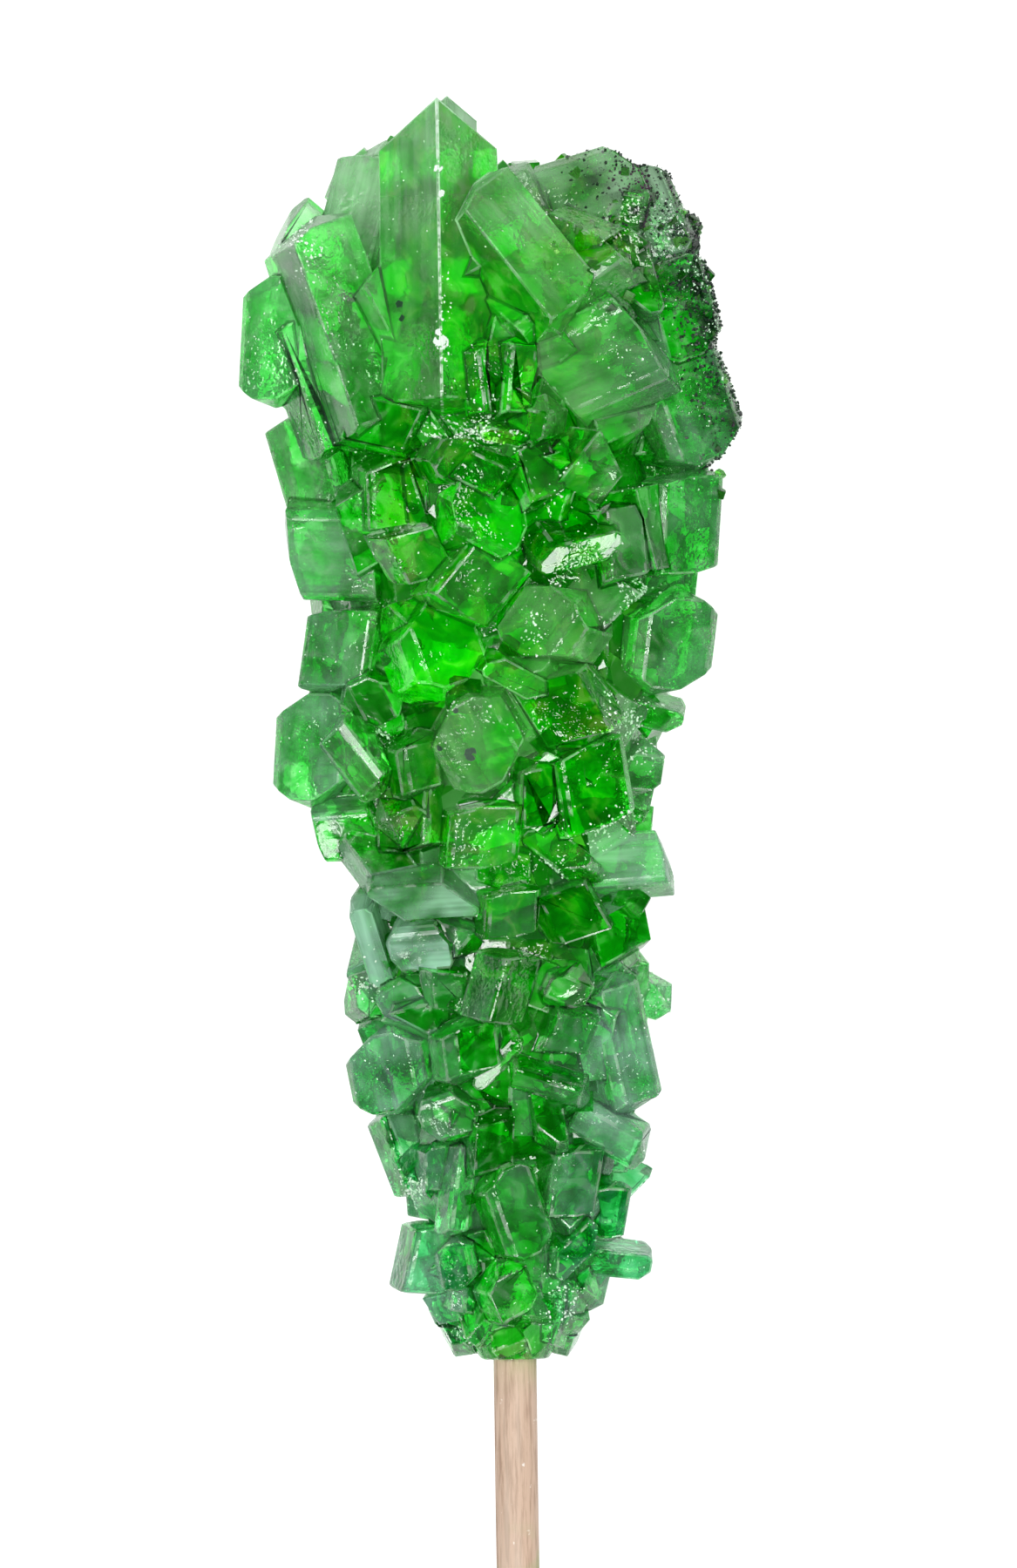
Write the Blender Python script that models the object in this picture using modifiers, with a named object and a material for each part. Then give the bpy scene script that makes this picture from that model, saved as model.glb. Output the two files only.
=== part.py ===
"""Rock candy on a wooden stick: a cluster of grown sugar crystals, lying on its back on a table.

The candy is drawn in the stick's own frame, in millimetres: x is across the stick, y is along it from the
candy's lower end towards the tip, and z is height over the stick's centreline, on the side that lies uppermost.
The finished pieces are then tipped onto the table, where they rest on two crystals of the crown and on the
stick's far end.
"""

import math
import random

import bmesh
import bpy
from mathutils import Matrix, Vector

MM = 0.001

# Driving sizes, in millimetres
STICK_DIAMETER = 3.1
STICK_SIDES = 24
STICK_EDGE = 0.3  # the rounding of the sawn ends
STICK_BARE = 75.0  # length of stick below the candy
STICK_INSIDE = 78.0  # length of stick that the candy has grown round
STICK_GAP = 0.3
FLATTENING = 0.84  # the candy's depth over its width
REST_ALONG = 72.0  # where the crown rests on the table, along the stick
REST_DEPTH = 15.0  # and how far under the stick's centreline
REST_WORN = 0.4  # depth of the flat spots at the resting places

# The candy's outline on either side of the stick, as (along, left, right)
OUTLINE = (
    (0, 3.0, 3.0), (2, 4.8, 4.4), (5, 7.2, 6.2), (8, 7.2, 7.4), (12, 7.0, 7.6), (16, 8.2, 8.8),
    (20, 9.8, 9.2), (25, 10.6, 9.6), (30, 11.0, 8.8), (35, 11.2, 10.0), (40, 12.8, 9.8),
    (45, 14.2, 10.6), (50, 13.0, 13.2), (55, 13.4, 13.6), (60, 14.2, 14.2), (65, 13.8, 14.6),
    (70, 15.8, 15.2), (75, 16.2, 14.4), (80, 13.8, 13.0), (84, 11.0, 11.0), (87, 6.0, 3.0),
)
CORE_SHARE = 0.80  # the close-grown core inside the outline

# How each habit of crystal ends: roof and hip are the slopes in degrees of the end faces across the width and
# across the thickness, ridge is how far off centre the roof's ridge sits, bevel is how much of each long edge
# is cut away, both as shares of the width, and skew is the slant of the whole crystal in degrees. The spear's
# tip is cut from below, so that it comes to its point on its upper edge, and its other end is blunt.
HABITS = {
    "spear": dict(roof=29, hip=29, ridge=-0.5, crest=0.5, blunt=12, bevel=0.0, skew=0),
    "prism": dict(roof=24, hip=20, ridge=0.22, bevel=0.0, skew=2),
    "point": dict(roof=40, hip=34, ridge=0.12, bevel=0.0, skew=0),
    "box": dict(roof=14, hip=10, ridge=0.24, bevel=0.08, skew=5),
    "plate": dict(roof=34, hip=14, ridge=0.08, bevel=0.12, skew=2),
    "wedge": dict(roof=46, hip=8, ridge=0.30, bevel=0.0, skew=6),
    "rhomb": dict(roof=5, hip=20, ridge=0.2, bevel=0.0, skew=15),
    "bar": dict(roof=24, hip=25, ridge=0.22, bevel=0.16, skew=2),
}

# The crystals that show on the uppermost side, zone by zone. Each is
#   habit, across, along, rise, heading, pitch, roll, width, length, thickness
# where rise lifts the crystal off the outline's surface, heading turns its length from the stick's direction
# towards +x, pitch lifts its leading end, and roll turns it about its own length.
CROWN = (
    ("spear", -4.0, 78.2, 1.2, 0, -4, 45, 6.0, 22.6, 6.0),
    ("spear", -3.5, 84.0, -3.4, 2, 0, 45, 3.1, 12.2, 3.1),
    ("box", -9.5, 81.4, -1.6, 10, -8, -14, 4.6, 9.4, 5.0),
    ("point", -8.3, 83.4, -3.0, 4, 0, 20, 3.0, 7.6, 3.4),
    ("box", -12.6, 79.0, -0.6, -52, 4, 12, 4.4, 7.0, 4.6),
    ("prism", -11.2, 73.6, 1.0, -20, -3, 28, 5.2, 16.4, 5.2),
    ("prism", -13.4, 69.6, 1.4, -20, 2, 24, 3.0, 10.8, 4.0),
    ("prism", 1.5, 78.3, 1.7, -39, -6, 32, 5.2, 12.6, 5.2),
    ("bar", 1.6, 82.0, -2.6, -30, -6, 12, 4.0, 6.0, 4.6),
    ("plate", 6.6, 82.2, -1.6, 72, -8, -16, 6.4, 9.4, 6.0),
    ("plate", 10.3, 80.2, -1.4, -24, -10, 18, 6.0, 9.0, 6.0),
    ("rhomb", 5.2, 79.0, -0.4, 24, 10, -14, 4.6, 6.0, 5.0),
    ("wedge", 9.4, 77.0, 0.6, -58, 8, 20, 4.4, 6.6, 4.4),
    ("plate", 12.0, 74.6, -0.6, -16, 6, 26, 5.8, 8.6, 6.0),
    ("box", 7.3, 70.9, 0.9, 62, 5, -14, 7.6, 8.8, 6.2),
    ("plate", 13.0, 67.6, 0.0, -20, 6, 24, 6.6, 9.4, 6.0),
    ("box", 3.4, 72.2, -0.4, 45, 14, 10, 3.2, 4.0, 4.0),
    ("bar", 0.9, 69.8, 0.0, 4, 0, 24, 2.6, 6.6, 4.0),
    ("bar", -1.2, 69.6, 0.2, -8, 0, -20, 2.0, 6.0, 3.4),
)
LEFT_FLANK = (
    ("plate", -15.1, 73.0, 3.4, 2, 0, -20, 5.4, 10.0, 5.0),
    ("box", -13.2, 64.6, 0.8, -20, 6, -24, 4.6, 7.6, 5.0),
    ("box", -11.8, 58.0, 0.9, 88, 6, 12, 6.6, 7.0, 6.0),
    ("box", -11.1, 50.7, 0.8, 4, -4, -16, 5.2, 6.4, 5.5),
    ("plate", -13.0, 43.9, 1.0, 2, 0, -20, 6.0, 8.8, 4.8),
    ("bar", -10.3, 43.2, 1.8, -38, -4, -30, 3.0, 6.4, 3.4),
    ("point", -9.2, 47.6, 0.4, 66, 10, 14, 3.6, 4.8, 4.0),
    ("box", -11.2, 38.2, 0.6, 82, 8, 20, 3.8, 5.0, 4.4),
    ("wedge", -8.8, 35.2, 0.8, -80, 4, 24, 3.2, 6.8, 3.4),
    ("wedge", -9.5, 30.4, 0.6, -62, 6, -24, 4.8, 5.6, 4.4),
    ("point", -10.2, 26.1, 0.2, -50, 8, 20, 3.2, 3.8, 3.0),
    ("plate", -8.2, 21.0, 0.6, -12, 6, -22, 6.0, 6.8, 5.0),
    ("bar", -7.8, 15.1, 0.2, -22, -4, 28, 2.8, 6.8, 3.2),
    ("box", -6.2, 7.4, 0.2, 8, 6, 18, 3.6, 5.4, 4.0),
)
MIDDLE = (
    ("rhomb", -7.6, 66.9, 0.4, 12, 8, -18, 4.8, 5.0, 4.6),
    ("box", -7.8, 62.2, 0.0, -6, 12, 16, 4.6, 5.4, 4.6),
    ("plate", -3.5, 64.1, 0.4, 30, -8, 22, 3.8, 4.4, 3.8),
    ("rhomb", -0.9, 63.2, 1.0, 24, 12, -14, 3.4, 3.4, 3.0),
    ("wedge", 0.2, 66.2, 0.8, 60, 6, 26, 2.4, 3.2, 3.0),
    ("point", 2.6, 66.6, 0.6, 10, 10, -26, 3.2, 4.6, 3.4),
    ("box", 2.3, 62.8, 0.4, -22, -8, 28, 3.0, 4.6, 3.4),
    ("spear", 6.4, 64.0, 1.0, 40, 16, 30, 3.8, 5.8, 3.8),
    ("plate", -1.5, 59.7, 0.4, -62, 10, 20, 4.8, 7.0, 5.0),
    ("wedge", 4.9, 58.4, 1.0, 38, 12, 34, 4.2, 6.0, 4.6),
    ("bar", 8.0, 58.2, 0.6, -6, 6, 26, 3.8, 7.0, 4.4),
    ("rhomb", -6.4, 57.6, 0.2, 60, -14, 16, 3.8, 5.0, 4.2),
    ("box", -2.2, 55.3, 0.7, 35, -12, 14, 5.0, 6.4, 5.2),
    ("plate", 3.7, 52.2, 1.0, 34, 8, -24, 6.4, 6.8, 6.0),
    ("plate", -5.0, 50.7, 1.0, -21, -4, 28, 6.4, 7.6, 5.4),
    ("wedge", 0.4, 49.0, 0.0, 72, -10, 20, 3.4, 5.0, 4.0),
    ("plate", -1.8, 44.3, 1.6, -30, 8, -8, 6.2, 7.6, 5.0),
    ("rhomb", 4.4, 46.9, -0.2, 62, 14, 12, 5.0, 6.4, 4.8),
    ("box", 5.5, 40.8, 1.0, -13, 6, 22, 5.6, 6.8, 5.4),
    ("box", -1.8, 37.5, 0.9, 2, 6, 8, 5.2, 5.2, 4.4),
    ("bar", -6.5, 42.6, 0.2, -10, 10, 20, 3.4, 5.0, 3.8),
    ("point", -6.9, 38.8, 0.2, 70, 0, 30, 3.4, 5.0, 3.6),
    ("box", 1.9, 40.4, 0.0, -4, 14, 16, 2.8, 4.8, 3.6),
    ("wedge", -5.9, 33.5, 0.9, 82, 6, 26, 2.9, 8.0, 3.4),
    ("box", 0.0, 32.1, 0.8, 0, 10, 12, 4.0, 4.0, 3.8),
    ("rhomb", 4.2, 32.1, 0.4, 58, -10, 18, 4.0, 5.0, 4.0),
    ("wedge", 4.1, 35.8, 0.3, 80, 12, -20, 3.2, 5.4, 3.8),
    ("plate", -6.0, 29.8, 0.5, 84, 8, 16, 3.6, 5.4, 4.0),
    ("box", -0.6, 26.7, 1.4, 13, 4, 44, 3.5, 5.6, 3.5),
    ("plate", -7.4, 25.9, 0.2, 60, 12, 0, 3.2, 4.0, 3.4),
    ("rhomb", -4.5, 26.7, 0.2, 80, -12, 16, 2.8, 3.6, 3.2),
    ("bar", -3.1, 22.4, 1.1, -8, 6, 22, 4.6, 5.2, 4.2),
    ("point", 3.8, 26.8, 0.6, 30, 10, 28, 3.2, 4.2, 3.4),
    ("rhomb", 4.0, 23.6, 0.2, 10, 14, 20, 3.2, 3.8, 3.4),
    ("plate", -4.4, 17.8, 0.7, 70, 10, 14, 3.6, 4.6, 3.4),
    ("bar", 2.8, 19.9, 0.8, 106, 4, 30, 1.8, 6.2, 2.6),
    ("wedge", 2.6, 17.2, 0.6, 122, 8, -20, 3.0, 5.0, 3.0),
    ("point", -5.3, 14.0, 0.2, 0, 8, 18, 2.8, 5.2, 3.2),
    ("bar", -4.0, 12.3, 1.0, 6, -4, 30, 1.8, 7.0, 2.4),
    ("rhomb", -1.8, 15.6, 0.4, -10, 14, 20, 3.0, 4.6, 3.4),
    ("plate", 0.0, 10.6, 1.4, -20, 6, 20, 4.0, 7.4, 3.8),
    ("box", 3.9, 12.8, 0.7, 5, 8, 22, 3.8, 5.4, 3.8),
    ("plate", -3.9, 7.1, 0.7, -12, 10, -14, 2.8, 4.2, 3.0),
    ("wedge", 4.1, 8.0, 0.5, 2, 10, 18, 2.8, 4.6, 3.0),
    ("point", -0.6, 4.9, 1.0, -22, 14, 20, 3.4, 5.2, 3.2),
)
RIGHT_FLANK = (
    ("box", 12.5, 59.4, 0.6, 0, 4, 26, 5.0, 7.8, 5.0),
    ("plate", 11.4, 51.1, 0.8, 6, 4, 22, 6.2, 8.0, 6.0),
    ("wedge", 10.4, 46.2, 0.0, 60, 10, 14, 3.2, 4.6, 3.8),
    ("point", 9.3, 42.0, -0.2, 10, 8, 26, 3.0, 4.6, 3.0),
    ("box", 8.6, 35.1, 0.8, 82, 6, -18, 4.0, 6.4, 4.0),
    ("rhomb", 7.3, 30.4, 0.5, -24, 10, 22, 4.4, 4.6, 4.2),
    ("point", 9.8, 25.9, 0.0, 60, 4, 18, 3.2, 4.0, 3.2),
    ("bar", 7.8, 22.4, 0.9, -13, 4, 22, 3.8, 10.2, 4.2),
    ("bar", 7.0, 16.4, 0.9, 120, 4, 20, 3.0, 6.6, 3.2),
    ("rhomb", 8.0, 12.9, -0.2, 30, 10, 10, 2.4, 3.0, 2.6),
    ("box", 6.5, 10.6, 0.2, 6, 8, 18, 2.8, 4.2, 3.2),
    ("wedge", 6.7, 7.2, 0.4, 52, 6, 14, 4.4, 5.6, 4.0),
)
# The two crystals of the underside that the crown rests on, each on one long edge, as
#   habit, across, along, roll, width, length, thickness
RESTING = (
    ("box", -7.2, REST_ALONG - 0.6, 20, 6.4, 9.0, 7.0),
    ("rhomb", 6.8, REST_ALONG + 0.6, -16, 6.0, 8.4, 7.0),
)

# Crystals that follow a rule: a golden-angle spiral up the stick, larger towards the tip
GOLDEN_ANGLE = math.radians(137.508)
BACK_COUNT = 58
BACK_SHARE = 0.82  # how far out their centres stand, as a share of the outline
BACK_ARC = math.radians(190)  # the arc on the side that lies on the table
FILL_COUNT = 44
FILL_SHARE = 0.76
SMALLEST, LARGEST = 3.2, 8.0
OVERHANG = 0.7  # how far they may stand past the outline
TOP_ALONG = 83.5  # and how far up the stick
RUBBLE_COUNT = 26  # the crumbs of crystal round the candy's lower end
SEED = 7

CRYSTAL_GREEN = (0.02, 0.42, 0.05, 1.0)
PALE_WOOD = (0.72, 0.53, 0.38, 1.0)


def clear_scene():
    for old in list(bpy.data.objects):
        bpy.data.objects.remove(old, do_unlink=True)


def material(name, colour, roughness):
    """A plain Principled material of one colour."""
    made = bpy.data.materials.new(name)
    made.use_nodes = True
    shader = made.node_tree.nodes["Principled BSDF"]
    shader.inputs["Base Color"].default_value = colour
    shader.inputs["Roughness"].default_value = roughness
    return made


def outline_at(along):
    """Reach of the outline to the left and to the right at a place along the stick."""
    for (low, *a), (high, *b) in zip(OUTLINE, OUTLINE[1:]):
        if along <= high:
            share = max((along - low) / (high - low), 0.0)
            return tuple(start + (end - start) * share for start, end in zip(a, b))
    return OUTLINE[-1][1:]


def surface_height(across, along):
    """Height of the outline's surface over the stick's centreline."""
    left, right = outline_at(along)
    share = min(abs(across) / (left if across < 0 else right), 1.0)
    return FLATTENING * (left + right) / 2 * math.sqrt(1 - share * share)


def slice_off(body, point, normal):
    """Cuts a convex body by a plane, drops what lies beyond it and closes the cut."""
    everything = body.verts[:] + body.edges[:] + body.faces[:]
    cut = bmesh.ops.bisect_plane(
        body, geom=everything, plane_co=point, plane_no=normal, clear_outer=True, dist=1e-7
    )
    rim = [item for item in cut["geom_cut"] if isinstance(item, bmesh.types.BMEdge)]
    if len(rim) > 2:
        bmesh.ops.contextual_create(body, geom=rim)


def crystal_mesh(name, habit, width, length, thickness):
    """One sugar crystal: a slanted block with a roofed end at each end of its length, along y."""
    form = HABITS[habit]
    size = Vector((width, length, thickness)) * MM
    body = bmesh.new()
    bmesh.ops.create_cube(body, size=1.0, matrix=Matrix.Diagonal((*size, 1.0)))
    for end in (1, -1):
        ridge = Vector((end * form["ridge"], end / 2, end * form.get("crest", 0.0))) * size
        slopes = (form["roof"], form["hip"]) if end > 0 else (form.get("blunt", form["roof"]),
                                                              form.get("blunt", form["hip"]))
        roof, hip = (math.radians(slope) for slope in slopes)
        for side in (1, -1):
            slice_off(body, ridge, Vector((side * math.sin(roof), end * math.cos(roof), 0)))
            slice_off(body, ridge, Vector((0, end * math.cos(hip), side * math.sin(hip))))
    if form["bevel"]:
        inset = form["bevel"] * size.x
        for side in (1, -1):
            for face in (1, -1):
                edge = Vector((side * (size.x / 2 - inset), 0, face * size.z / 2))
                slice_off(body, edge, Vector((side, 0, face)).normalized())
    slant = Matrix.Shear("XZ", 4, (math.tan(math.radians(form["skew"])), 0.0))
    bmesh.ops.transform(body, matrix=slant, verts=body.verts)
    bmesh.ops.recalc_face_normals(body, faces=body.faces)
    mesh = bpy.data.meshes.new(name)
    body.to_mesh(mesh)
    body.free()
    return mesh


def turned(heading, pitch, roll):
    """Turns a crystal's length to a heading and a pitch, after a roll about its length."""
    return (
        Matrix.Rotation(-math.radians(heading), 3, "Z")
        @ Matrix.Rotation(math.radians(pitch), 3, "X")
        @ Matrix.Rotation(math.radians(roll), 3, "Y")
    )


def add_crystal(group, mesh, place, turn):
    """Puts one crystal in the group, with its centre at a place in millimetres."""
    crystal = bpy.data.objects.new(mesh.name, mesh)
    crystal.matrix_world = Matrix.Translation(Vector(place) * MM) @ turn.to_4x4()
    group.objects.link(crystal)


def kept_inside(place, mesh, turn):
    """Moves a crystal's place inwards until it keeps to the outline, give or take its overhang."""
    corners = [turn @ corner.co / MM for corner in mesh.vertices]
    across, along, height = place
    along = min(along, TOP_ALONG - max(corner.y for corner in corners))
    along = max(along, -min(corner.y for corner in corners))
    left, right = outline_at(along)
    across = min(across, right + OVERHANG - max(corner.x for corner in corners))
    across = max(across, -left - OVERHANG - min(corner.x for corner in corners))
    depth = FLATTENING * (left + right) / 2 + OVERHANG
    height = max(height, -depth - min(corner.z for corner in corners))
    return across, along, height


def add_shown_crystals(group):
    """The crystals of the uppermost side, each set into the outline's surface."""
    for habit, across, along, rise, heading, pitch, roll, width, length, thickness in (
        *CROWN, *LEFT_FLANK, *MIDDLE, *RIGHT_FLANK,
    ):
        height = surface_height(across, along) - 0.45 * thickness + rise
        mesh = crystal_mesh("shown", habit, width, length, thickness)
        add_crystal(group, mesh, (across, along, height), turned(heading, pitch, roll))


def add_resting_crystals(group):
    """The two crystals of the underside that stand deepest, in line with the table."""
    for habit, across, along, roll, width, length, thickness in RESTING:
        mesh = crystal_mesh("resting", habit, width, length, thickness)
        turn = turned(0, -rest_tilt(), roll)
        lowest = min((turn @ corner.co).z for corner in mesh.vertices) / MM
        add_crystal(group, mesh, (across, along, -REST_DEPTH - REST_WORN - lowest), turn)


def add_by_rule(group, count, share, arc_middle, arc, low, high, scale, names, chance):
    """Crystals on a golden-angle spiral, within an arc round the stick, growing outwards at a lean."""
    for i in range(count):
        along = low + (high - low) * (i + 0.5) / count
        angle = arc_middle + arc * ((i * GOLDEN_ANGLE / math.tau) % 1.0 - 0.5)
        size = scale * (SMALLEST + (LARGEST - SMALLEST) * min(along / 70.0, 1.0))
        size *= chance.uniform(0.75, 1.2)
        left, right = outline_at(along)
        reach = share * (right if math.sin(angle) > 0 else left)
        depth = share * FLATTENING * (left + right) / 2
        turn = (
            Matrix.Rotation(angle, 3, "Y")
            @ turned(chance.uniform(-80, 80), chance.uniform(-10, 30), chance.uniform(-35, 35))
        )
        length = size * chance.uniform(1.0, 1.5)
        mesh = crystal_mesh("grown", chance.choice(names), size * 0.9, length, size * 0.9)
        place = (reach * math.sin(angle), along, depth * math.cos(angle))
        add_crystal(group, mesh, kept_inside(place, mesh, turn), turn)


def add_rubble(group, chance):
    """Small crystals round the candy's lower end, where it meets the stick."""
    for i in range(RUBBLE_COUNT):
        angle = i * GOLDEN_ANGLE
        along = 1.4 + 3.8 * ((i * 7) % RUBBLE_COUNT) / RUBBLE_COUNT
        left, right = outline_at(along)
        reach = 0.8 * (right if math.sin(angle) > 0 else left)
        depth = 0.8 * FLATTENING * (left + right) / 2
        turn = Matrix.Rotation(angle, 3, "Y") @ turned(
            chance.uniform(-90, 90), chance.uniform(-30, 30), chance.uniform(-40, 40)
        )
        size = chance.uniform(1.8, 3.0)
        mesh = crystal_mesh("rubble", "rhomb", size, size * 1.2, size)
        place = (reach * math.sin(angle), along, depth * math.cos(angle))
        add_crystal(group, mesh, kept_inside(place, mesh, turn), turn)


def turned_body(name, points, sides, depth_scale=1.0):
    """A body turned about the stick's line from (radius, along) points, then flattened in depth."""
    profile = bmesh.new()
    corners = [profile.verts.new((across * MM, along * MM, 0)) for across, along in points]
    for above, below in zip(corners, corners[1:]):
        profile.edges.new((above, below))
    mesh = bpy.data.meshes.new(name)
    profile.to_mesh(mesh)
    profile.free()
    body = bpy.data.objects.new(name, mesh)
    body.scale = (1.0, 1.0, depth_scale)
    screw = body.modifiers.new("turn", "SCREW")
    screw.axis = "Y"
    screw.steps = screw.render_steps = sides
    screw.use_merge_vertices = True
    screw.merge_threshold = 1e-5
    screw.use_normal_calculate = True
    return body


def core():
    """The close-grown mass round the stick: a turned body, flattened as the outline is."""
    top = OUTLINE[-1][0]
    points = [(0.0, top - 2.0)]
    points += [(CORE_SHARE * (left + right) / 2, along) for along, left, right in reversed(OUTLINE[:-1])]
    points.append((0.0, OUTLINE[0][0]))
    return turned_body("candy", points, 16, FLATTENING)


def rod(name, radius, low, high, edge):
    """A round rod along the stick's line, its ends rounded by an edge width."""
    points = [(0.0, high), (radius - edge, high), (radius, high - edge)]
    points += [(radius, low + edge), (radius - edge, low), (0.0, low)]
    return turned_body(name, points, STICK_SIDES)


def fixed_mesh(thing):
    """The object's evaluated mesh, with its modifiers and its place worked in."""
    bpy.context.view_layer.update()
    seen = thing.evaluated_get(bpy.context.evaluated_depsgraph_get())
    mesh = bpy.data.meshes.new_from_object(seen)
    mesh.transform(thing.matrix_world)
    return mesh


def fix(thing):
    """Works an object's modifiers and its place into its mesh."""
    mesh = fixed_mesh(thing)
    thing.modifiers.clear()
    thing.data = mesh
    thing.matrix_world = Matrix.Identity(4)


def join_group(body, group, solver):
    """One Boolean union of a body with every object of a group, which is then removed."""
    union = body.modifiers.new("grown_together", "BOOLEAN")
    union.operation = "UNION"
    union.operand_type = "COLLECTION"
    union.collection = group
    union.solver = solver
    fix(body)
    for crystal in list(group.objects):
        bpy.data.objects.remove(crystal, do_unlink=True)
    bpy.data.collections.remove(group)


def cut_away(body, cutter, solver):
    """Takes a cutter out of a body."""
    cut = body.modifiers.new("cut", "BOOLEAN")
    cut.operation = "DIFFERENCE"
    cut.object = cutter
    cut.solver = solver
    fix(body)


def fill_pockets(body):
    """Keeps only the largest shell of a body, so that pockets closed in between crystals become solid."""
    mesh = bmesh.new()
    mesh.from_mesh(body.data)
    left = set(mesh.faces)
    shells = []
    while left:
        shell = [left.pop()]
        for face in shell:
            for edge in face.edges:
                for other in edge.link_faces:
                    if other in left:
                        left.remove(other)
                        shell.append(other)
        shells.append(shell)
    shells.sort(key=len)
    for shell in shells[:-1]:
        bmesh.ops.delete(mesh, geom=shell, context="FACES")
    mesh.to_mesh(body.data)
    mesh.free()


def rest_tilt():
    """The lean in degrees at which the crown and the stick's far end both touch the table."""
    return math.degrees(math.atan2(REST_DEPTH - STICK_DIAMETER / 2, REST_ALONG + STICK_BARE))


def table_pose():
    """From the stick's own frame to lying on the table, with the table's top at z = 0."""
    lean = Matrix.Rotation(math.radians(rest_tilt()), 4, "X")
    end = lean @ Vector((0, -STICK_BARE * MM, -STICK_DIAMETER / 2 * MM))
    return Matrix.Translation((0, 0, -end.z - REST_WORN / 2 * MM)) @ lean


def build():
    clear_scene()
    chance = random.Random(SEED)
    scene = bpy.context.scene
    parts = bpy.data.collections.new("rock_candy")
    scene.collection.children.link(parts)
    crystals = bpy.data.collections.new("crystals")
    scene.collection.children.link(crystals)
    cutters = bpy.data.collections.new("cutters")
    scene.collection.children.link(cutters)

    candy = core()
    parts.objects.link(candy)
    fix(candy)
    add_shown_crystals(crystals)
    add_resting_crystals(crystals)
    hidden = ("rhomb", "wedge", "point", "rhomb", "box")
    add_by_rule(crystals, BACK_COUNT, BACK_SHARE, math.pi, BACK_ARC, 5.0, 80.0, 1.1, hidden, chance)
    front = math.tau - BACK_ARC
    add_by_rule(crystals, FILL_COUNT, FILL_SHARE, 0.0, front, 6.0, 80.0, 0.8, hidden, chance)
    add_rubble(crystals, chance)
    join_group(candy, crystals, "EXACT")
    fill_pockets(candy)

    socket = rod("socket", STICK_DIAMETER / 2 + STICK_GAP, -4.0, STICK_INSIDE + STICK_GAP, 0.2)
    cutters.objects.link(socket)
    fix(socket)
    cut_away(candy, socket, "EXACT")

    stick = rod("stick", STICK_DIAMETER / 2, -STICK_BARE, STICK_INSIDE, STICK_EDGE)
    parts.objects.link(stick)
    fix(stick)
    stick.data.shade_smooth()
    stick.data.set_sharp_from_angle(angle=math.radians(30))

    table = bpy.data.objects.new("table", bpy.data.meshes.new("table"))
    slab = bmesh.new()
    bmesh.ops.create_cube(slab, size=0.4, matrix=Matrix.Translation((0, 0, -0.2)))
    slab.to_mesh(table.data)
    slab.free()
    cutters.objects.link(table)
    for piece in (candy, stick):
        piece.matrix_world = table_pose()
        fix(piece)
        cut_away(piece, table, "EXACT")
    for cutter in (socket, table):
        bpy.data.objects.remove(cutter, do_unlink=True)
    bpy.data.collections.remove(cutters)

    corners = [corner.co for piece in (candy, stick) for corner in piece.data.vertices]
    middle = [(min(c[i] for c in corners) + max(c[i] for c in corners)) / 2 for i in (0, 1)]
    centred = Matrix.Translation((-middle[0], -middle[1], 0))
    for piece in (candy, stick):
        piece.data.transform(centred)

    candy.data.materials.clear()
    candy.data.materials.append(material("crystal_green", CRYSTAL_GREEN, 0.15))
    stick.data.materials.clear()
    stick.data.materials.append(material("pale_wood", PALE_WOOD, 0.6))
    return centred @ table_pose()


if __name__ == "__main__":
    build()
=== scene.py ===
import math
import random

import bmesh
import bpy
from mathutils import Matrix, Vector
from mathutils.bvhtree import BVHTree


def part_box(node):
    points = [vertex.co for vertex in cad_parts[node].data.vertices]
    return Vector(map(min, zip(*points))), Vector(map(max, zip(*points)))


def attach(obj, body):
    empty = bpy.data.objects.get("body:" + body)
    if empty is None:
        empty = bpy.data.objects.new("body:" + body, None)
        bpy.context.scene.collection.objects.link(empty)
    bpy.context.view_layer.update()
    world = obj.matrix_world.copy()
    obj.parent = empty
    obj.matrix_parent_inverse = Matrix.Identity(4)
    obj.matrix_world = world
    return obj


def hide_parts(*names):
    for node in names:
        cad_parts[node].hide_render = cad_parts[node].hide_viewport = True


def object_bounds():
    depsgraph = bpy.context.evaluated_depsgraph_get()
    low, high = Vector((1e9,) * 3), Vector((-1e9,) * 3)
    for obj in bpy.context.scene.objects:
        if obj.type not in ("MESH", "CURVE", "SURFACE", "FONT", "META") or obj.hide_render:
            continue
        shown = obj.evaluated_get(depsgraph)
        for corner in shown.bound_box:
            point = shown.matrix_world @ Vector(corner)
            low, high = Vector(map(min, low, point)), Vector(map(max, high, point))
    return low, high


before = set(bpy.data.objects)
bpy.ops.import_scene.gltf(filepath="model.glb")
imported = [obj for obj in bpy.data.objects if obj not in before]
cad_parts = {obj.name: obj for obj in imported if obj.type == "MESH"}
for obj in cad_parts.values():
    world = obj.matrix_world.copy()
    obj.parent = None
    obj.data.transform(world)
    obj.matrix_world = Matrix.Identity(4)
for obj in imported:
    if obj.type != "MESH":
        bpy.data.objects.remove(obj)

cad_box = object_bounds()
scene = bpy.context.scene

# ---------------------------------------------------------------------------------------------
# Stick
# A turned birch dowel, 1/8 inch thick, which the sugar has grown round. It is bare wood with
# fine fibres and a little wave in it, and its free end is cut square and rubbed.

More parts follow.
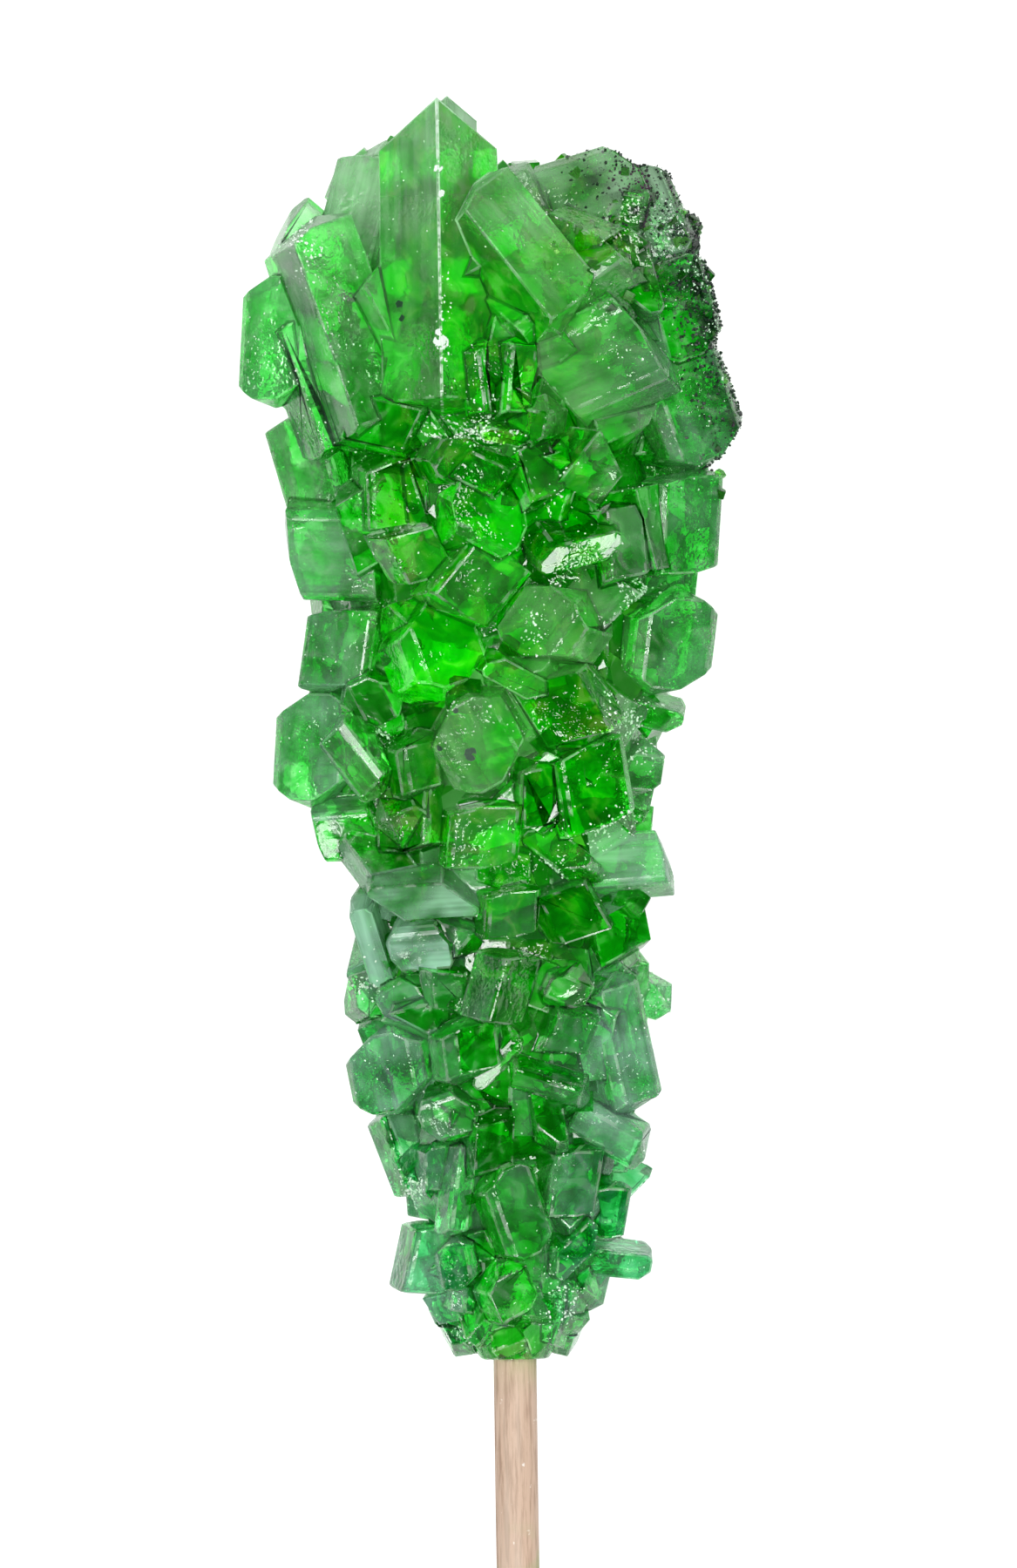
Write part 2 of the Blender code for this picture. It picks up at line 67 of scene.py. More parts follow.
MM = 0.001
STICK_RADIUS = 1.55 * MM
STICK_BARE = 75 * MM  # the length of stick outside the candy
STICK_INSIDE = 77.8 * MM
STICK_END = 0.3 * MM  # how far in from its ends the stick is rubbed
REST_ALONG = 72 * MM  # how far up the candy the crystals lie that it rests on
REST_DEPTH = 15 * MM  # how far under the stick's line they reach
REST_WORN = 0.4 * MM  # how deep they are worn flat
WAVE = 0.05 * MM  # how far the stick bends from side to side
WAVE_LENGTH = 9 * MM  # for each radian of the wave
FIBRE_DEPTH = 0.022 * MM
FIBRE_TWIST = 30 * MM  # for each radian of the fibres' swing round the stick
stick_lean = math.atan2(REST_DEPTH - STICK_RADIUS, REST_ALONG + STICK_BARE)
stick_low, stick_high = (Vector(corner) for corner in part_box("stick"))
foot = Vector((  # where the stick's line enters the candy
    (stick_low.x + stick_high.x) / 2,
    stick_low.y + STICK_BARE * math.cos(stick_lean) + (STICK_RADIUS - STICK_END) * math.sin(stick_lean),
    STICK_BARE * math.sin(stick_lean) + STICK_RADIUS * math.cos(stick_lean) - REST_WORN / 2,
))
on_stick = Matrix.Translation(foot) @ Matrix.Rotation(stick_lean, 4, "X")
off_table = on_stick.inverted()


def new_piece(name, shape):
    """Puts a bmesh in the scene as an object of its own."""
    mesh = bpy.data.meshes.new(name)
    shape.to_mesh(mesh)
    shape.free()
    piece = bpy.data.objects.new(name, mesh)
    scene.collection.objects.link(piece)
    return piece


def dowel(sides=72, rings=260):
    """The stick as a closed tube with shallow fibres, a slight wave and rubbed ends."""
    chance = random.Random(12)
    fibres = [(chance.uniform(0.4, 1.0), chance.randrange(7, 34), chance.uniform(0, math.tau))
              for _ in range(5)]
    shape = bmesh.new()
    loops = []
    for ring in range(rings + 1):
        along = -STICK_BARE + (STICK_BARE + STICK_INSIDE) * ring / rings
        from_end = min(along + STICK_BARE, STICK_INSIDE - along)
        rubbed = STICK_END * max(0.0, 1 - from_end / STICK_END) ** 2
        wave = WAVE * math.sin(along / WAVE_LENGTH)
        loop = []
        for side in range(sides):
            turn = math.tau * side / sides
            grain = sum(depth * math.cos(count * turn + phase + 9 * math.sin(along / FIBRE_TWIST) / count)
                        for depth, count, phase in fibres) / len(fibres)
            radius = STICK_RADIUS - rubbed - 0.02 * MM + FIBRE_DEPTH * grain
            place = on_stick @ Vector((radius * math.cos(turn) + wave, along, radius * math.sin(turn)))
            place.z = max(place.z, 0.0)  # the spot that the free end is worn flat on
            loop.append(shape.verts.new(place))
        loops.append(loop)
    for low, high in zip(loops, loops[1:]):
        for side in range(sides):
            after = (side + 1) % sides
            shape.faces.new((low[side], high[side], high[after], low[after])).smooth = True
    shape.faces.new(loops[0])
    shape.faces.new(reversed(loops[-1]))
    bmesh.ops.recalc_face_normals(shape, faces=shape.faces)
    return shape


stick = new_piece("wooden_stick", dowel())


def new_material(name):
    """A material with its node tree and its Principled shader."""
    made = bpy.data.materials.new(name)
    made.use_nodes = True
    return made, made.node_tree, made.node_tree.nodes["Principled BSDF"]


def node(tree, kind, **settings):
    """Adds a node. A setting is one of its properties or, by name, one of its inputs."""
    added = tree.nodes.new(kind)
    for name, value in settings.items():
        given = None if hasattr(added, name) else added.inputs[name.replace("_", " ")]
        if given is None:
            setattr(added, name, value)
        elif isinstance(value, bpy.types.NodeSocket):
            tree.links.new(value, given)
        else:
            given.default_value = value
    return added


def spread(tree, value, low, high, to_low=0.0, to_high=1.0):
    """Maps a value's range from low to high on to another range, and keeps it inside."""
    return node(tree, "ShaderNodeMapRange", Value=value, From_Min=low, From_Max=high,
                To_Min=to_low, To_Max=to_high).outputs["Result"]


def fill(tree, sockets, values):
    """Gives each socket its value, which is a number, a colour, or another node's output."""
    for socket, value in zip(sockets, values):
        if isinstance(value, bpy.types.NodeSocket):
            tree.links.new(value, socket)
        else:
            socket.default_value = value


def calc(tree, operation, *values, clamped=False):
    """One step of arithmetic on values and numbers."""
    step = node(tree, "ShaderNodeMath", operation=operation, use_clamp=clamped)
    fill(tree, step.inputs, values)
    return step.outputs["Value"]


def times(tree, first, second):
    """One value multiplied by another, or by a number, and kept from 0 to 1."""
    return calc(tree, "MULTIPLY", first, second, clamped=True)


def greater(tree, first, second):
    """The greater of two values."""
    return calc(tree, "MAXIMUM", first, second)


def blended(tree, share, under, over):
    """One colour laid over another by a share."""
    mix = node(tree, "ShaderNodeMix", data_type="RGBA")
    fill(tree, (mix.inputs["Factor"], mix.inputs["A"], mix.inputs["B"]), (share, under, over))
    return mix.outputs["Result"]


def noise(tree, where, scale, detail, **more):
    """Cloudy noise from 0 to 1 at a place, with so many clouds to the metre."""
    return node(tree, "ShaderNodeTexNoise", Vector=where, Scale=scale, Detail=detail, **more).outputs["Fac"]


def attribute(tree, name):
    """A number that the mesh carries under a name."""
    return node(tree, "ShaderNodeAttribute", attribute_name=name).outputs["Fac"]


def own_place(tree):
    """The point's own place on the piece, in metres."""
    return node(tree, "ShaderNodeTexCoord").outputs["Object"]


def vector_math(tree, operation, first, second):
    """One step of arithmetic on two vectors."""
    step = node(tree, "ShaderNodeVectorMath", operation=operation)
    fill(tree, step.inputs, (first, second))
    return step.outputs


def place_group():
    """Where a point lies, in millimetres across, along and over the stick from the candy's foot."""
    group = bpy.data.node_groups.new("place_on_candy", "ShaderNodeTree")
    for name in ("Across", "Along", "Over"):
        group.interface.new_socket(name, in_out="OUTPUT", socket_type="NodeSocketFloat")
    straight = node(group, "ShaderNodeMapping", vector_type="TEXTURE", Vector=own_place(group),
                    Location=foot, Rotation=(stick_lean, 0, 0), Scale=(MM, MM, MM))
    split = node(group, "ShaderNodeSeparateXYZ", Vector=straight.outputs["Vector"])
    out = node(group, "NodeGroupOutput")
    fill(group, out.inputs, split.outputs)
    return group


place_on_candy = place_group()

BIRCH = (0.62, 0.445, 0.330, 1)
BIRCH_DARK = (0.38, 0.245, 0.168, 1)
BIRCH_LIGHT = (0.70, 0.57, 0.46, 1)
SUGAR_ON_WOOD = (0.93, 0.88, 0.82, 1)
DYE_STAIN = (0.40, 0.44, 0.22, 1)
DYED_WOOD = (0.36, 0.42, 0.16, 1)
birch, tree, shader = new_material("birch")
place = node(tree, "ShaderNodeGroup", node_tree=place_on_candy).outputs
squeezed = spread(tree, place["Along"], -80, 80, 0, 12)  # so that the fibres run along the stick
drawn_out = node(tree, "ShaderNodeCombineXYZ", X=place["Across"], Y=squeezed, Z=place["Over"])
fibre = noise(tree, drawn_out.outputs["Vector"], 3.2, 5.0, Roughness=0.62)
band = noise(tree, drawn_out.outputs["Vector"], 0.8, 2.0)
fleck = noise(tree, own_place(tree), 1500.0, 2.0)
soak = noise(tree, own_place(tree), 260.0, 3.0)
wood = blended(tree, spread(tree, fibre, 0.45, 0.62, 0, 0.85), BIRCH, BIRCH_DARK)
wood = blended(tree, spread(tree, band, 0.48, 0.68, 0, 0.6), wood, BIRCH_LIGHT)
wood = blended(tree, spread(tree, fleck, 0.70, 0.76, 0, 0.8), wood, SUGAR_ON_WOOD)
stained = times(tree, spread(tree, place["Along"], -11.5, -13.5), spread(tree, soak, 0.45, 0.62, 0, 0.7))
stained = times(tree, stained, spread(tree, place["Along"], -17.0, -15.5))
wood = blended(tree, stained, wood, DYE_STAIN)
at_sugar = times(tree, spread(tree, place["Along"], -2.5, 0.3), spread(tree, soak, 0.38, 0.62, 0.1, 0.8))
wood = blended(tree, at_sugar, wood, DYED_WOOD)
tree.links.new(wood, shader.inputs["Base Color"])
tree.links.new(spread(tree, fibre, 0.3, 0.7, 0.52, 0.72), shader.inputs["Roughness"])
raised = node(tree, "ShaderNodeBump", Height=fibre, Strength=0.5, Distance=0.06 * MM)
tree.links.new(raised.outputs["Normal"], shader.inputs["Normal"])
stick.data.materials.append(birch)
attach(stick, "root")
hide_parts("stick")

# ---------------------------------------------------------------------------------------------
# Inner crystals
# The mass of smaller sugar crystals under the clear outer ones, which grew first, thick on the
# stick. They show through the outer crystals as darker and brighter green blocks and give the
# candy its depth. Their green is painted brighter towards the crown, a painted glow for the light
# that comes through the crown.

candy_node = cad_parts["candy"]
SOCKET_ROOM = 0.45 * MM  # faces this near to the stick belong to its socket
HOLLOW_REACH = 6 * MM  # how near a crystal has to be to take the openness of a surface
GOLDEN_TURN = 2.399963  # spreads the rays evenly over the half sphere


def cluster_shape():
    """The cluster's own solid, merged and closed across the socket for the stick."""
    shape = bmesh.new()
    shape.from_mesh(candy_node.data)
    bmesh.ops.remove_doubles(shape, verts=shape.verts, dist=0.001 * MM)
    socket = []
    for face in shape.faces:
        corners = [off_table @ vert.co for vert in face.verts]
        if all(math.hypot(corner.x, corner.z) < STICK_RADIUS + SOCKET_ROOM for corner in corners):
            socket.append(face)
    bmesh.ops.delete(shape, geom=socket, context="FACES")
    mouth = [edge for edge in shape.edges if edge.is_boundary]
    bmesh.ops.contextual_create(shape, geom=mouth)
    bmesh.ops.dissolve_limit(shape, angle_limit=math.radians(0.6), verts=shape.verts, edges=shape.edges)
    return shape


def mark_hollows(shape, rays=28):
    """Gives each corner its openness: how much of the air round it is free of other crystals."""
    around = BVHTree.FromBMesh(shape)
    open_layer = shape.verts.layers.float.new("openness")
    shape.normal_update()
    for vert in shape.verts:
        normal = vert.normal
        side = normal.orthogonal().normalized()
        other = normal.cross(side)
        free = 0
        for ray in range(rays):
            up = (ray + 0.5) / rays
            turn = GOLDEN_TURN * ray
            flat = math.sqrt(1 - up * up)
            aim = side * (flat * math.cos(turn)) + other * (flat * math.sin(turn)) + normal * up
            start = vert.co + normal * 0.05 * MM
            free += around.ray_cast(start, aim, HOLLOW_REACH)[0] is None
        vert[open_layer] = free / rays
    return shape


def growing_ground():
    """The cluster's surface in small triangles, to strew things on."""
    shape = mark_hollows(cluster_shape())
    bmesh.ops.triangulate(shape, faces=shape.faces)
    bmesh.ops.subdivide_edges(shape, edges=shape.edges, cuts=2, use_grid_fill=True)
    return shape


ground = new_piece("cluster_surface", growing_ground())


def mark_ground(name, amount_at):
    """Writes how much of something each corner of the ground bears, from its place on the candy."""
    layer = ground.data.attributes.new(name, "FLOAT", "POINT")
    openness = ground.data.attributes["openness"].data
    amounts = []
    for vert in ground.data.vertices:
        spot = (off_table @ vert.co) / MM
        amount = amount_at(spot.x, spot.y, spot.z, openness[vert.index].value)
        amounts.append(min(max(amount, 0.0), 1.0))
    layer.data.foreach_set("value", amounts)


def off_spear(across, along, over, openness):
    """Nothing small lies in the large clean spear at the crown."""
    return 0.0 if along > 64 and -10 < across < 1 else 1.0


def under_crown(across, along, over, openness):
    """They thicken from a quarter of the way up."""
    return off_spear(across, along, over, openness) * (along - 22) / 12 * (along < 79)


def at_foot(across, along, over, openness):
    """They fill the lower third, but for its very end."""
    return (34 - along) / 12 * (along > 4.5)


mark_ground("inner_ground", under_crown)
mark_ground("inner_foot", at_foot)

FORMS = 5  # how many kinds of crystal each store holds


def crystal_forms(name, seed, cut_ends=(1, -1)):
    """A hidden store of sugar crystals one metre long: oblong blocks with sloping end facets."""
    chance = random.Random(seed)
    store = bpy.data.collections.new(name)
    for kind in range(FORMS):
        form = bmesh.new()
        size = (chance.uniform(0.55, 0.8), 1.0, chance.uniform(0.45, 0.75), 1.0)
        bmesh.ops.create_cube(form, size=1.0, matrix=Matrix.Diagonal(size))
        for end in cut_ends:
            for side in (1, -1):
                slope = math.radians(chance.uniform(18, 55))
                cut = bmesh.ops.bisect_plane(
                    form, geom=form.verts[:] + form.edges[:] + form.faces[:],
                    plane_co=(side * chance.uniform(0.0, 0.12), end * 0.5, 0),
                    plane_no=(side * math.sin(slope), end * math.cos(slope), 0), clear_outer=True)
                rim = [part for part in cut["geom_cut"] if isinstance(part, bmesh.types.BMEdge)]
                if len(rim) > 2:
                    bmesh.ops.contextual_create(form, geom=rim)
        bmesh.ops.recalc_face_normals(form, faces=form.faces)
        crystal = new_piece(f"{name}_{kind}", form)
        scene.collection.objects.unlink(crystal)
        store.objects.link(crystal)
    return store


def strewing_tree():
    """Strews crystals over a surface, drawn in towards the stick's line, each turned at random."""
    tree = bpy.data.node_groups.new("strew_crystals", "GeometryNodeTree")
    for name, kind in (("Geometry", "Geometry"), ("Forms", "Collection"), ("Material", "Material"),
                       ("Where", "String"), ("Per Square Metre", "Float"), ("Smallest", "Float"),
                       ("Largest", "Float"), ("Least Share Out", "Float"), ("Most Share Out", "Float"),
                       ("Sunk", "Float"), ("Patch Scale", "Float"), ("Patchiness", "Float"),
                       ("Stick Foot", "Vector"), ("Stick Direction", "Vector"), ("Seed", "Int")):
        tree.interface.new_socket(name, in_out="INPUT", socket_type="NodeSocket" + kind)
    tree.interface.new_socket("Geometry", in_out="OUTPUT", socket_type="NodeSocketGeometry")
    given = node(tree, "NodeGroupInput").outputs
    named = node(tree, "GeometryNodeInputNamedAttribute", data_type="FLOAT", Name=given["Where"])
    patch = node(tree, "ShaderNodeTexNoise", Scale=given["Patch Scale"], Detail=2.0).outputs["Fac"]
    thinned = calc(tree, "MULTIPLY", spread(tree, patch, 0.58, 0.50), given["Patchiness"])
    left = calc(tree, "SUBTRACT", 1.0, thinned, clamped=True)
    everywhere = calc(tree, "MULTIPLY", given["Per Square Metre"], named.outputs["Attribute"])
    points = node(tree, "GeometryNodeDistributePointsOnFaces", distribute_method="RANDOM",
                  Mesh=given["Geometry"], Density=calc(tree, "MULTIPLY", everywhere, left),
                  Seed=given["Seed"])

    def chance(low, high, offset, kind="FLOAT"):
        """A random value or vector for each crystal, unlike those with another offset."""
        picked = node(tree, "FunctionNodeRandomValue", data_type=kind,
                      Seed=calc(tree, "ADD", given["Seed"], offset))
        fill(tree, [socket for socket in picked.inputs if socket.enabled], (low, high))
        return next(socket for socket in picked.outputs if socket.enabled)

    spot = node(tree, "GeometryNodeInputPosition").outputs["Position"]
    from_foot = vector_math(tree, "SUBTRACT", spot, given["Stick Foot"])["Vector"]
    reach = vector_math(tree, "DOT_PRODUCT", from_foot, given["Stick Direction"])["Value"]
    along = node(tree, "ShaderNodeVectorMath", operation="SCALE", Scale=reach)
    tree.links.new(given["Stick Direction"], along.inputs[0])
    on_line = vector_math(tree, "ADD", given["Stick Foot"], along.outputs["Vector"])["Vector"]
    drawn = node(tree, "ShaderNodeMix", data_type="VECTOR")
    tree.links.new(chance(given["Least Share Out"], given["Most Share Out"], 1), drawn.inputs["Factor"])
    fill(tree, [socket for socket in drawn.inputs if socket.type == "VECTOR" and socket.enabled][-2:],
         (on_line, spot))
    sinking = node(tree, "ShaderNodeVectorMath", operation="SCALE", Scale=given["Sunk"])
    tree.links.new(points.outputs["Normal"], sinking.inputs[0])
    mixed_spot = next(socket for socket in drawn.outputs if socket.enabled)
    placed = vector_math(tree, "SUBTRACT", mixed_spot, sinking.outputs["Vector"])["Vector"]
    moved = node(tree, "GeometryNodeSetPosition", Geometry=points.outputs["Points"], Position=placed)
    forms = node(tree, "GeometryNodeCollectionInfo", Collection=given["Forms"], Separate_Children=True,
                 Reset_Children=True)
    turn = node(tree, "FunctionNodeEulerToRotation",
                Euler=chance((0, 0, 0), (math.tau, math.tau, math.tau), 2, "FLOAT_VECTOR"))
    rare = calc(tree, "POWER", chance(0.0, 1.0, 4), 2.5)  # large ones are rarer than small ones
    size = spread(tree, rare, 0.0, 1.0, given["Smallest"], given["Largest"])
    grown = node(tree, "GeometryNodeInstanceOnPoints", Points=moved.outputs["Geometry"],
                 Instance=forms.outputs["Instances"], Pick_Instance=True,
                 Instance_Index=chance(0, FORMS - 1, 3, "INT"), Rotation=turn.outputs["Rotation"],
                 Scale=size)
    shaded = node(tree, "GeometryNodeStoreNamedAttribute", data_type="FLOAT", domain="INSTANCE",
                  Geometry=grown.outputs["Instances"], Name="shade", Value=chance(0.0, 1.0, 5))
    real = node(tree, "GeometryNodeRealizeInstances", Geometry=shaded.outputs["Geometry"])
    coated = node(tree, "GeometryNodeSetMaterial", Geometry=real.outputs["Geometry"],
                  Material=given["Material"])
    out = node(tree, "NodeGroupOutput")
    tree.links.new(coated.outputs["Geometry"], out.inputs["Geometry"])
    return tree


strew_crystals = strewing_tree()


def keep_in_box(verts, gap=0.0):
    """Moves each corner that passes the box of the whole part back into it."""
    for vert in verts:
        for axis in range(3):
            vert.co[axis] = min(max(vert.co[axis], cad_box[0][axis] + gap), cad_box[1][axis] - gap)


def strewn(name, finish, Patch_Scale=100.0, Patchiness=0.0, **choices):
    """Runs the strewing tree over the cluster's surface and keeps the result as a plain mesh."""
    piece = bpy.data.objects.new(name, ground.data.copy())
    scene.collection.objects.link(piece)
    growing = piece.modifiers.new("growing", "NODES")
    growing.node_group = strew_crystals
    choices.update(Material=finish, Patch_Scale=Patch_Scale, Patchiness=Patchiness, Stick_Foot=foot,
                   Stick_Direction=on_stick.to_3x3() @ Vector((0, 1, 0)))
    for socket in strew_crystals.interface.items_tree:
        if socket.in_out == "INPUT" and socket.name.replace(" ", "_") in choices:
            growing[socket.identifier] = choices[socket.name.replace(" ", "_")]
    evaluated = piece.evaluated_get(bpy.context.evaluated_depsgraph_get())
    result = bpy.data.meshes.new_from_object(evaluated)
    piece.modifiers.remove(growing)
    piece.data = result
    keep_in_box(result.vertices, 0.01 * MM)
    return piece


INNER_DARK = (0.006, 0.15, 0.001, 1)
INNER_BRIGHT = (0.10, 0.74, 0.002, 1)
FOOT_DARK = (0.001, 0.045, 0.004, 1)
FOOT_BRIGHT = (0.03, 0.60, 0.02, 1)
inner_sugar, tree, shader = new_material("inner_sugar")
along = node(tree, "ShaderNodeGroup", node_tree=place_on_candy).outputs["Along"]
clouds = noise(tree, own_place(tree), 350.0, 3.0)
tone_and_painted_glow = calc(tree, "ADD", spread(tree, attribute(tree, "shade"), 0.25, 1.0),
           spread(tree, clouds, 0.35, 0.75, -0.25, 0.35))
# painted glow: brighter towards the crown, for the light that comes through it
tone_and_painted_glow = calc(tree, "ADD", tone_and_painted_glow, spread(tree, along, 25, 75, -0.20, 0.25), clamped=True)
low_down = spread(tree, along, 40, 18)
darker = blended(tree, low_down, INNER_DARK, FOOT_DARK)
brighter = blended(tree, low_down, INNER_BRIGHT, FOOT_BRIGHT)
tree.links.new(blended(tree, tone_and_painted_glow, darker, brighter), shader.inputs["Base Color"])
tree.links.new(spread(tree, clouds, 0.3, 0.7, 0.35, 0.6), shader.inputs["Roughness"])
inner_forms = crystal_forms("inner_forms", 5)
inner = strewn("inner_crystals", inner_sugar, Forms=inner_forms, Where="inner_ground",
               Per_Square_Metre=60000.0, Smallest=3 * MM, Largest=9 * MM, Least_Share_Out=0.05,
               Most_Share_Out=0.55, Sunk=1.2 * MM, Seed=3)
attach(inner, "root")
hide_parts("candy")
foot_inner = strewn("inner_crystals_at_foot", inner_sugar, Forms=inner_forms, Where="inner_foot",
                    Per_Square_Metre=130000.0, Smallest=1.5 * MM, Largest=4.5 * MM, Least_Share_Out=0.05,
                    Most_Share_Out=0.35, Sunk=0.8 * MM, Seed=4)
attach(foot_inner, "root")
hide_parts("candy")

# ---------------------------------------------------------------------------------------------
# Clear outer crystals
# The large sugar crystals that make up the outside, grown into one another: clear green sugar
# with flat facets, some of them frosted. They keep the cluster's own shape. Each outer edge is
# worn to a narrow chamfer, painted pale as rubbed sugar and as a painted highlight, each groove
# between two crystals is painted as a fine dark line of shade, and the hollows are painted darker
# as shade.

WORN_RIM = 0.16 * MM  # how far in from an edge a facet is worn
WORN_DEPTH = 0.06 * MM
RIM_STEPS = 8  # rims on small facets are narrower, in this many steps
LONGEST_CORNER = 2.2  # at a pointed corner a rim would run on too far: so many times its width at most
SHARPEST = math.radians(12)  # facets that meet flatter than this have no worn rim between them


def worn_cluster():
    """The cluster with a rim round every facet: sloped outwards and marked to be painted pale, as wear
    and a painted highlight; filled inwards and marked to be painted dark, as painted shade.
    """
    shape = cluster_shape()
    facet = shape.faces.layers.float.new("facet")
    lie = shape.faces.layers.float_vector.new("lie")
    worn = shape.faces.layers.float.new("worn")
    groove = shape.faces.layers.float.new("groove")
    chance = random.Random(4)
    shape.normal_update()
    slide = {}
    for vert in shape.verts:
        bends = [edge.calc_face_angle_signed(0.0) for edge in vert.link_edges]
        outward = max(bends, default=0.0) > SHARPEST and min(bends, default=0.0) > -SHARPEST
        inward = min(bends, default=0.0) < -SHARPEST and max(bends, default=0.0) < SHARPEST
        slide[vert] = WORN_DEPTH * (inward - outward)
    bends = {frozenset(edge.verts): edge.calc_face_angle_signed(0.0) for edge in shape.edges}
    widths = {}
    for face in shape.faces:
        face[facet] = chance.random()
        longest = max(face.edges, key=lambda edge: edge.calc_length())
        face[lie] = (longest.verts[1].co - longest.verts[0].co).normalized()
        room = 2 * face.calc_area() / sum(edge.calc_length() for edge in face.edges)
        step = math.ceil(RIM_STEPS * min(1.0, 0.35 * room / WORN_RIM))
        widths.setdefault(step, []).append(face)
    for step, facets in widths.items():
        rims = bmesh.ops.inset_individual(
            shape, faces=facets, thickness=WORN_RIM * step / RIM_STEPS, use_even_offset=True)["faces"]
        for rim in rims:
            bend = sum(bends.get(frozenset(edge.verts), 0.0) for edge in rim.edges)
            rim[worn] = 1.0 if bend > SHARPEST else 0.0
            rim[groove] = 1.0 if bend < -SHARPEST else 0.0
        for corner in {vert for rim in rims for vert in rim.verts} - slide.keys():
            old = next(edge.other_vert(corner) for edge in corner.link_edges
                       if edge.other_vert(corner) in slide)
            drawn = corner.co - old.co
            drawn.length = min(drawn.length, LONGEST_CORNER * WORN_RIM * step / RIM_STEPS)
            corner.co = old.co + drawn
    normals = {vert: vert.normal.copy() for vert in slide}
    for vert, distance in slide.items():
        vert.co += normals[vert] * distance
    for vert in shape.verts:
        vert.co.z = max(vert.co.z, 0.0)
    return mark_hollows(shape)


crystals = new_piece("clear_crystals", worn_cluster())

OLIVE = (0.12, 0.68, 0.006, 1)  # the yellower streaks in the dye


def dye_group():
    """The dye in the sugar: deep green in the middle, paler on the flanks and bluer at the foot."""
    group = bpy.data.node_groups.new("sugar_dye", "ShaderNodeTree")
    for name in ("Deep", "Flank", "Foot"):
        group.interface.new_socket(name, in_out="INPUT", socket_type="NodeSocketColor")
    group.interface.new_socket("Colour", in_out="OUTPUT", socket_type="NodeSocketColor")
    given = node(group, "NodeGroupInput").outputs
    place = node(group, "ShaderNodeGroup", node_tree=place_on_candy).outputs
    here = own_place(group)
    aside = calc(group, "ABSOLUTE", place["Across"])
    strayed = calc(group, "MULTIPLY_ADD", noise(group, here, 150.0, 1.5), 8.0, aside)
    flank = spread(group, strayed, 11.0, 19.0)
    low = times(group, spread(group, place["Along"], 32.0, 4.0), spread(group, strayed, 5.5, 11.5, 0.12, 1.0))
    narrow = calc(group, "MULTIPLY_ADD", low, 0.5, flank, clamped=True)
    streak = noise(group, here, 110.0, 1.0)
    olive = blended(group, spread(group, streak, 0.52, 0.66, 0.0, 0.8), given["Deep"], OLIVE)
    paler = blended(group, narrow, olive, given["Flank"])
    bluer = blended(group, low, paler, given["Foot"])
    out = node(group, "NodeGroupOutput")
    group.links.new(bluer, out.inputs["Colour"])
    return group


sugar_dye = dye_group()


def growth_group():
    """Fine ribs that run along each facet, the way a sugar crystal lays down its layers."""
    group = bpy.data.node_groups.new("growth_ribs", "ShaderNodeTree")
    group.interface.new_socket("Ribs", in_out="OUTPUT", socket_type="NodeSocketFloat")
    here = own_place(group)
    lie = node(group, "ShaderNodeAttribute", attribute_name="lie").outputs["Vector"]
    flat = node(group, "ShaderNodeNewGeometry").outputs["True Normal"]
    sideways = vector_math(group, "CROSS_PRODUCT", flat, lie)["Vector"]
    along = vector_math(group, "DOT_PRODUCT", here, lie)["Value"]
    across = vector_math(group, "DOT_PRODUCT", here, sideways)["Value"]
    drawn_out = calc(group, "MULTIPLY", along, 0.09)  # a rib is eleven times as long as it is wide
    spot = node(group, "ShaderNodeCombineXYZ", X=drawn_out, Y=across, Z=attribute(group, "facet"))
    out = node(group, "NodeGroupOutput")
    group.links.new(noise(group, spot.outputs["Vector"], 1500.0, 2.0, Roughness=0.6), out.inputs["Ribs"])
    return group


growth_ribs = growth_group()

PAINTED_HOLLOW_SHADE_COLOUR = (0.005, 0.22, 0.004, 1)
RIM_SUGAR = (0.004, 0.03, 0.010, 1)
FROST_AND_SHEEN_SUGAR = (0.60, 0.86, 0.64, 1)
PAINTED_GROOVE_SHADE_COLOUR = (0.004, 0.10, 0.01, 1)
RUBBED_AND_HIGHLIT_SUGAR = (0.88, 0.98, 0.90, 1)
RIM_SLANT = 0.33  # the crown's dark right side keeps to across + 0.33 * along
BAND_SLANT = 0.8  # and a dark band lies over the crown where 0.8 * across + along is 89.8 mm
BAND_AT = 89.8


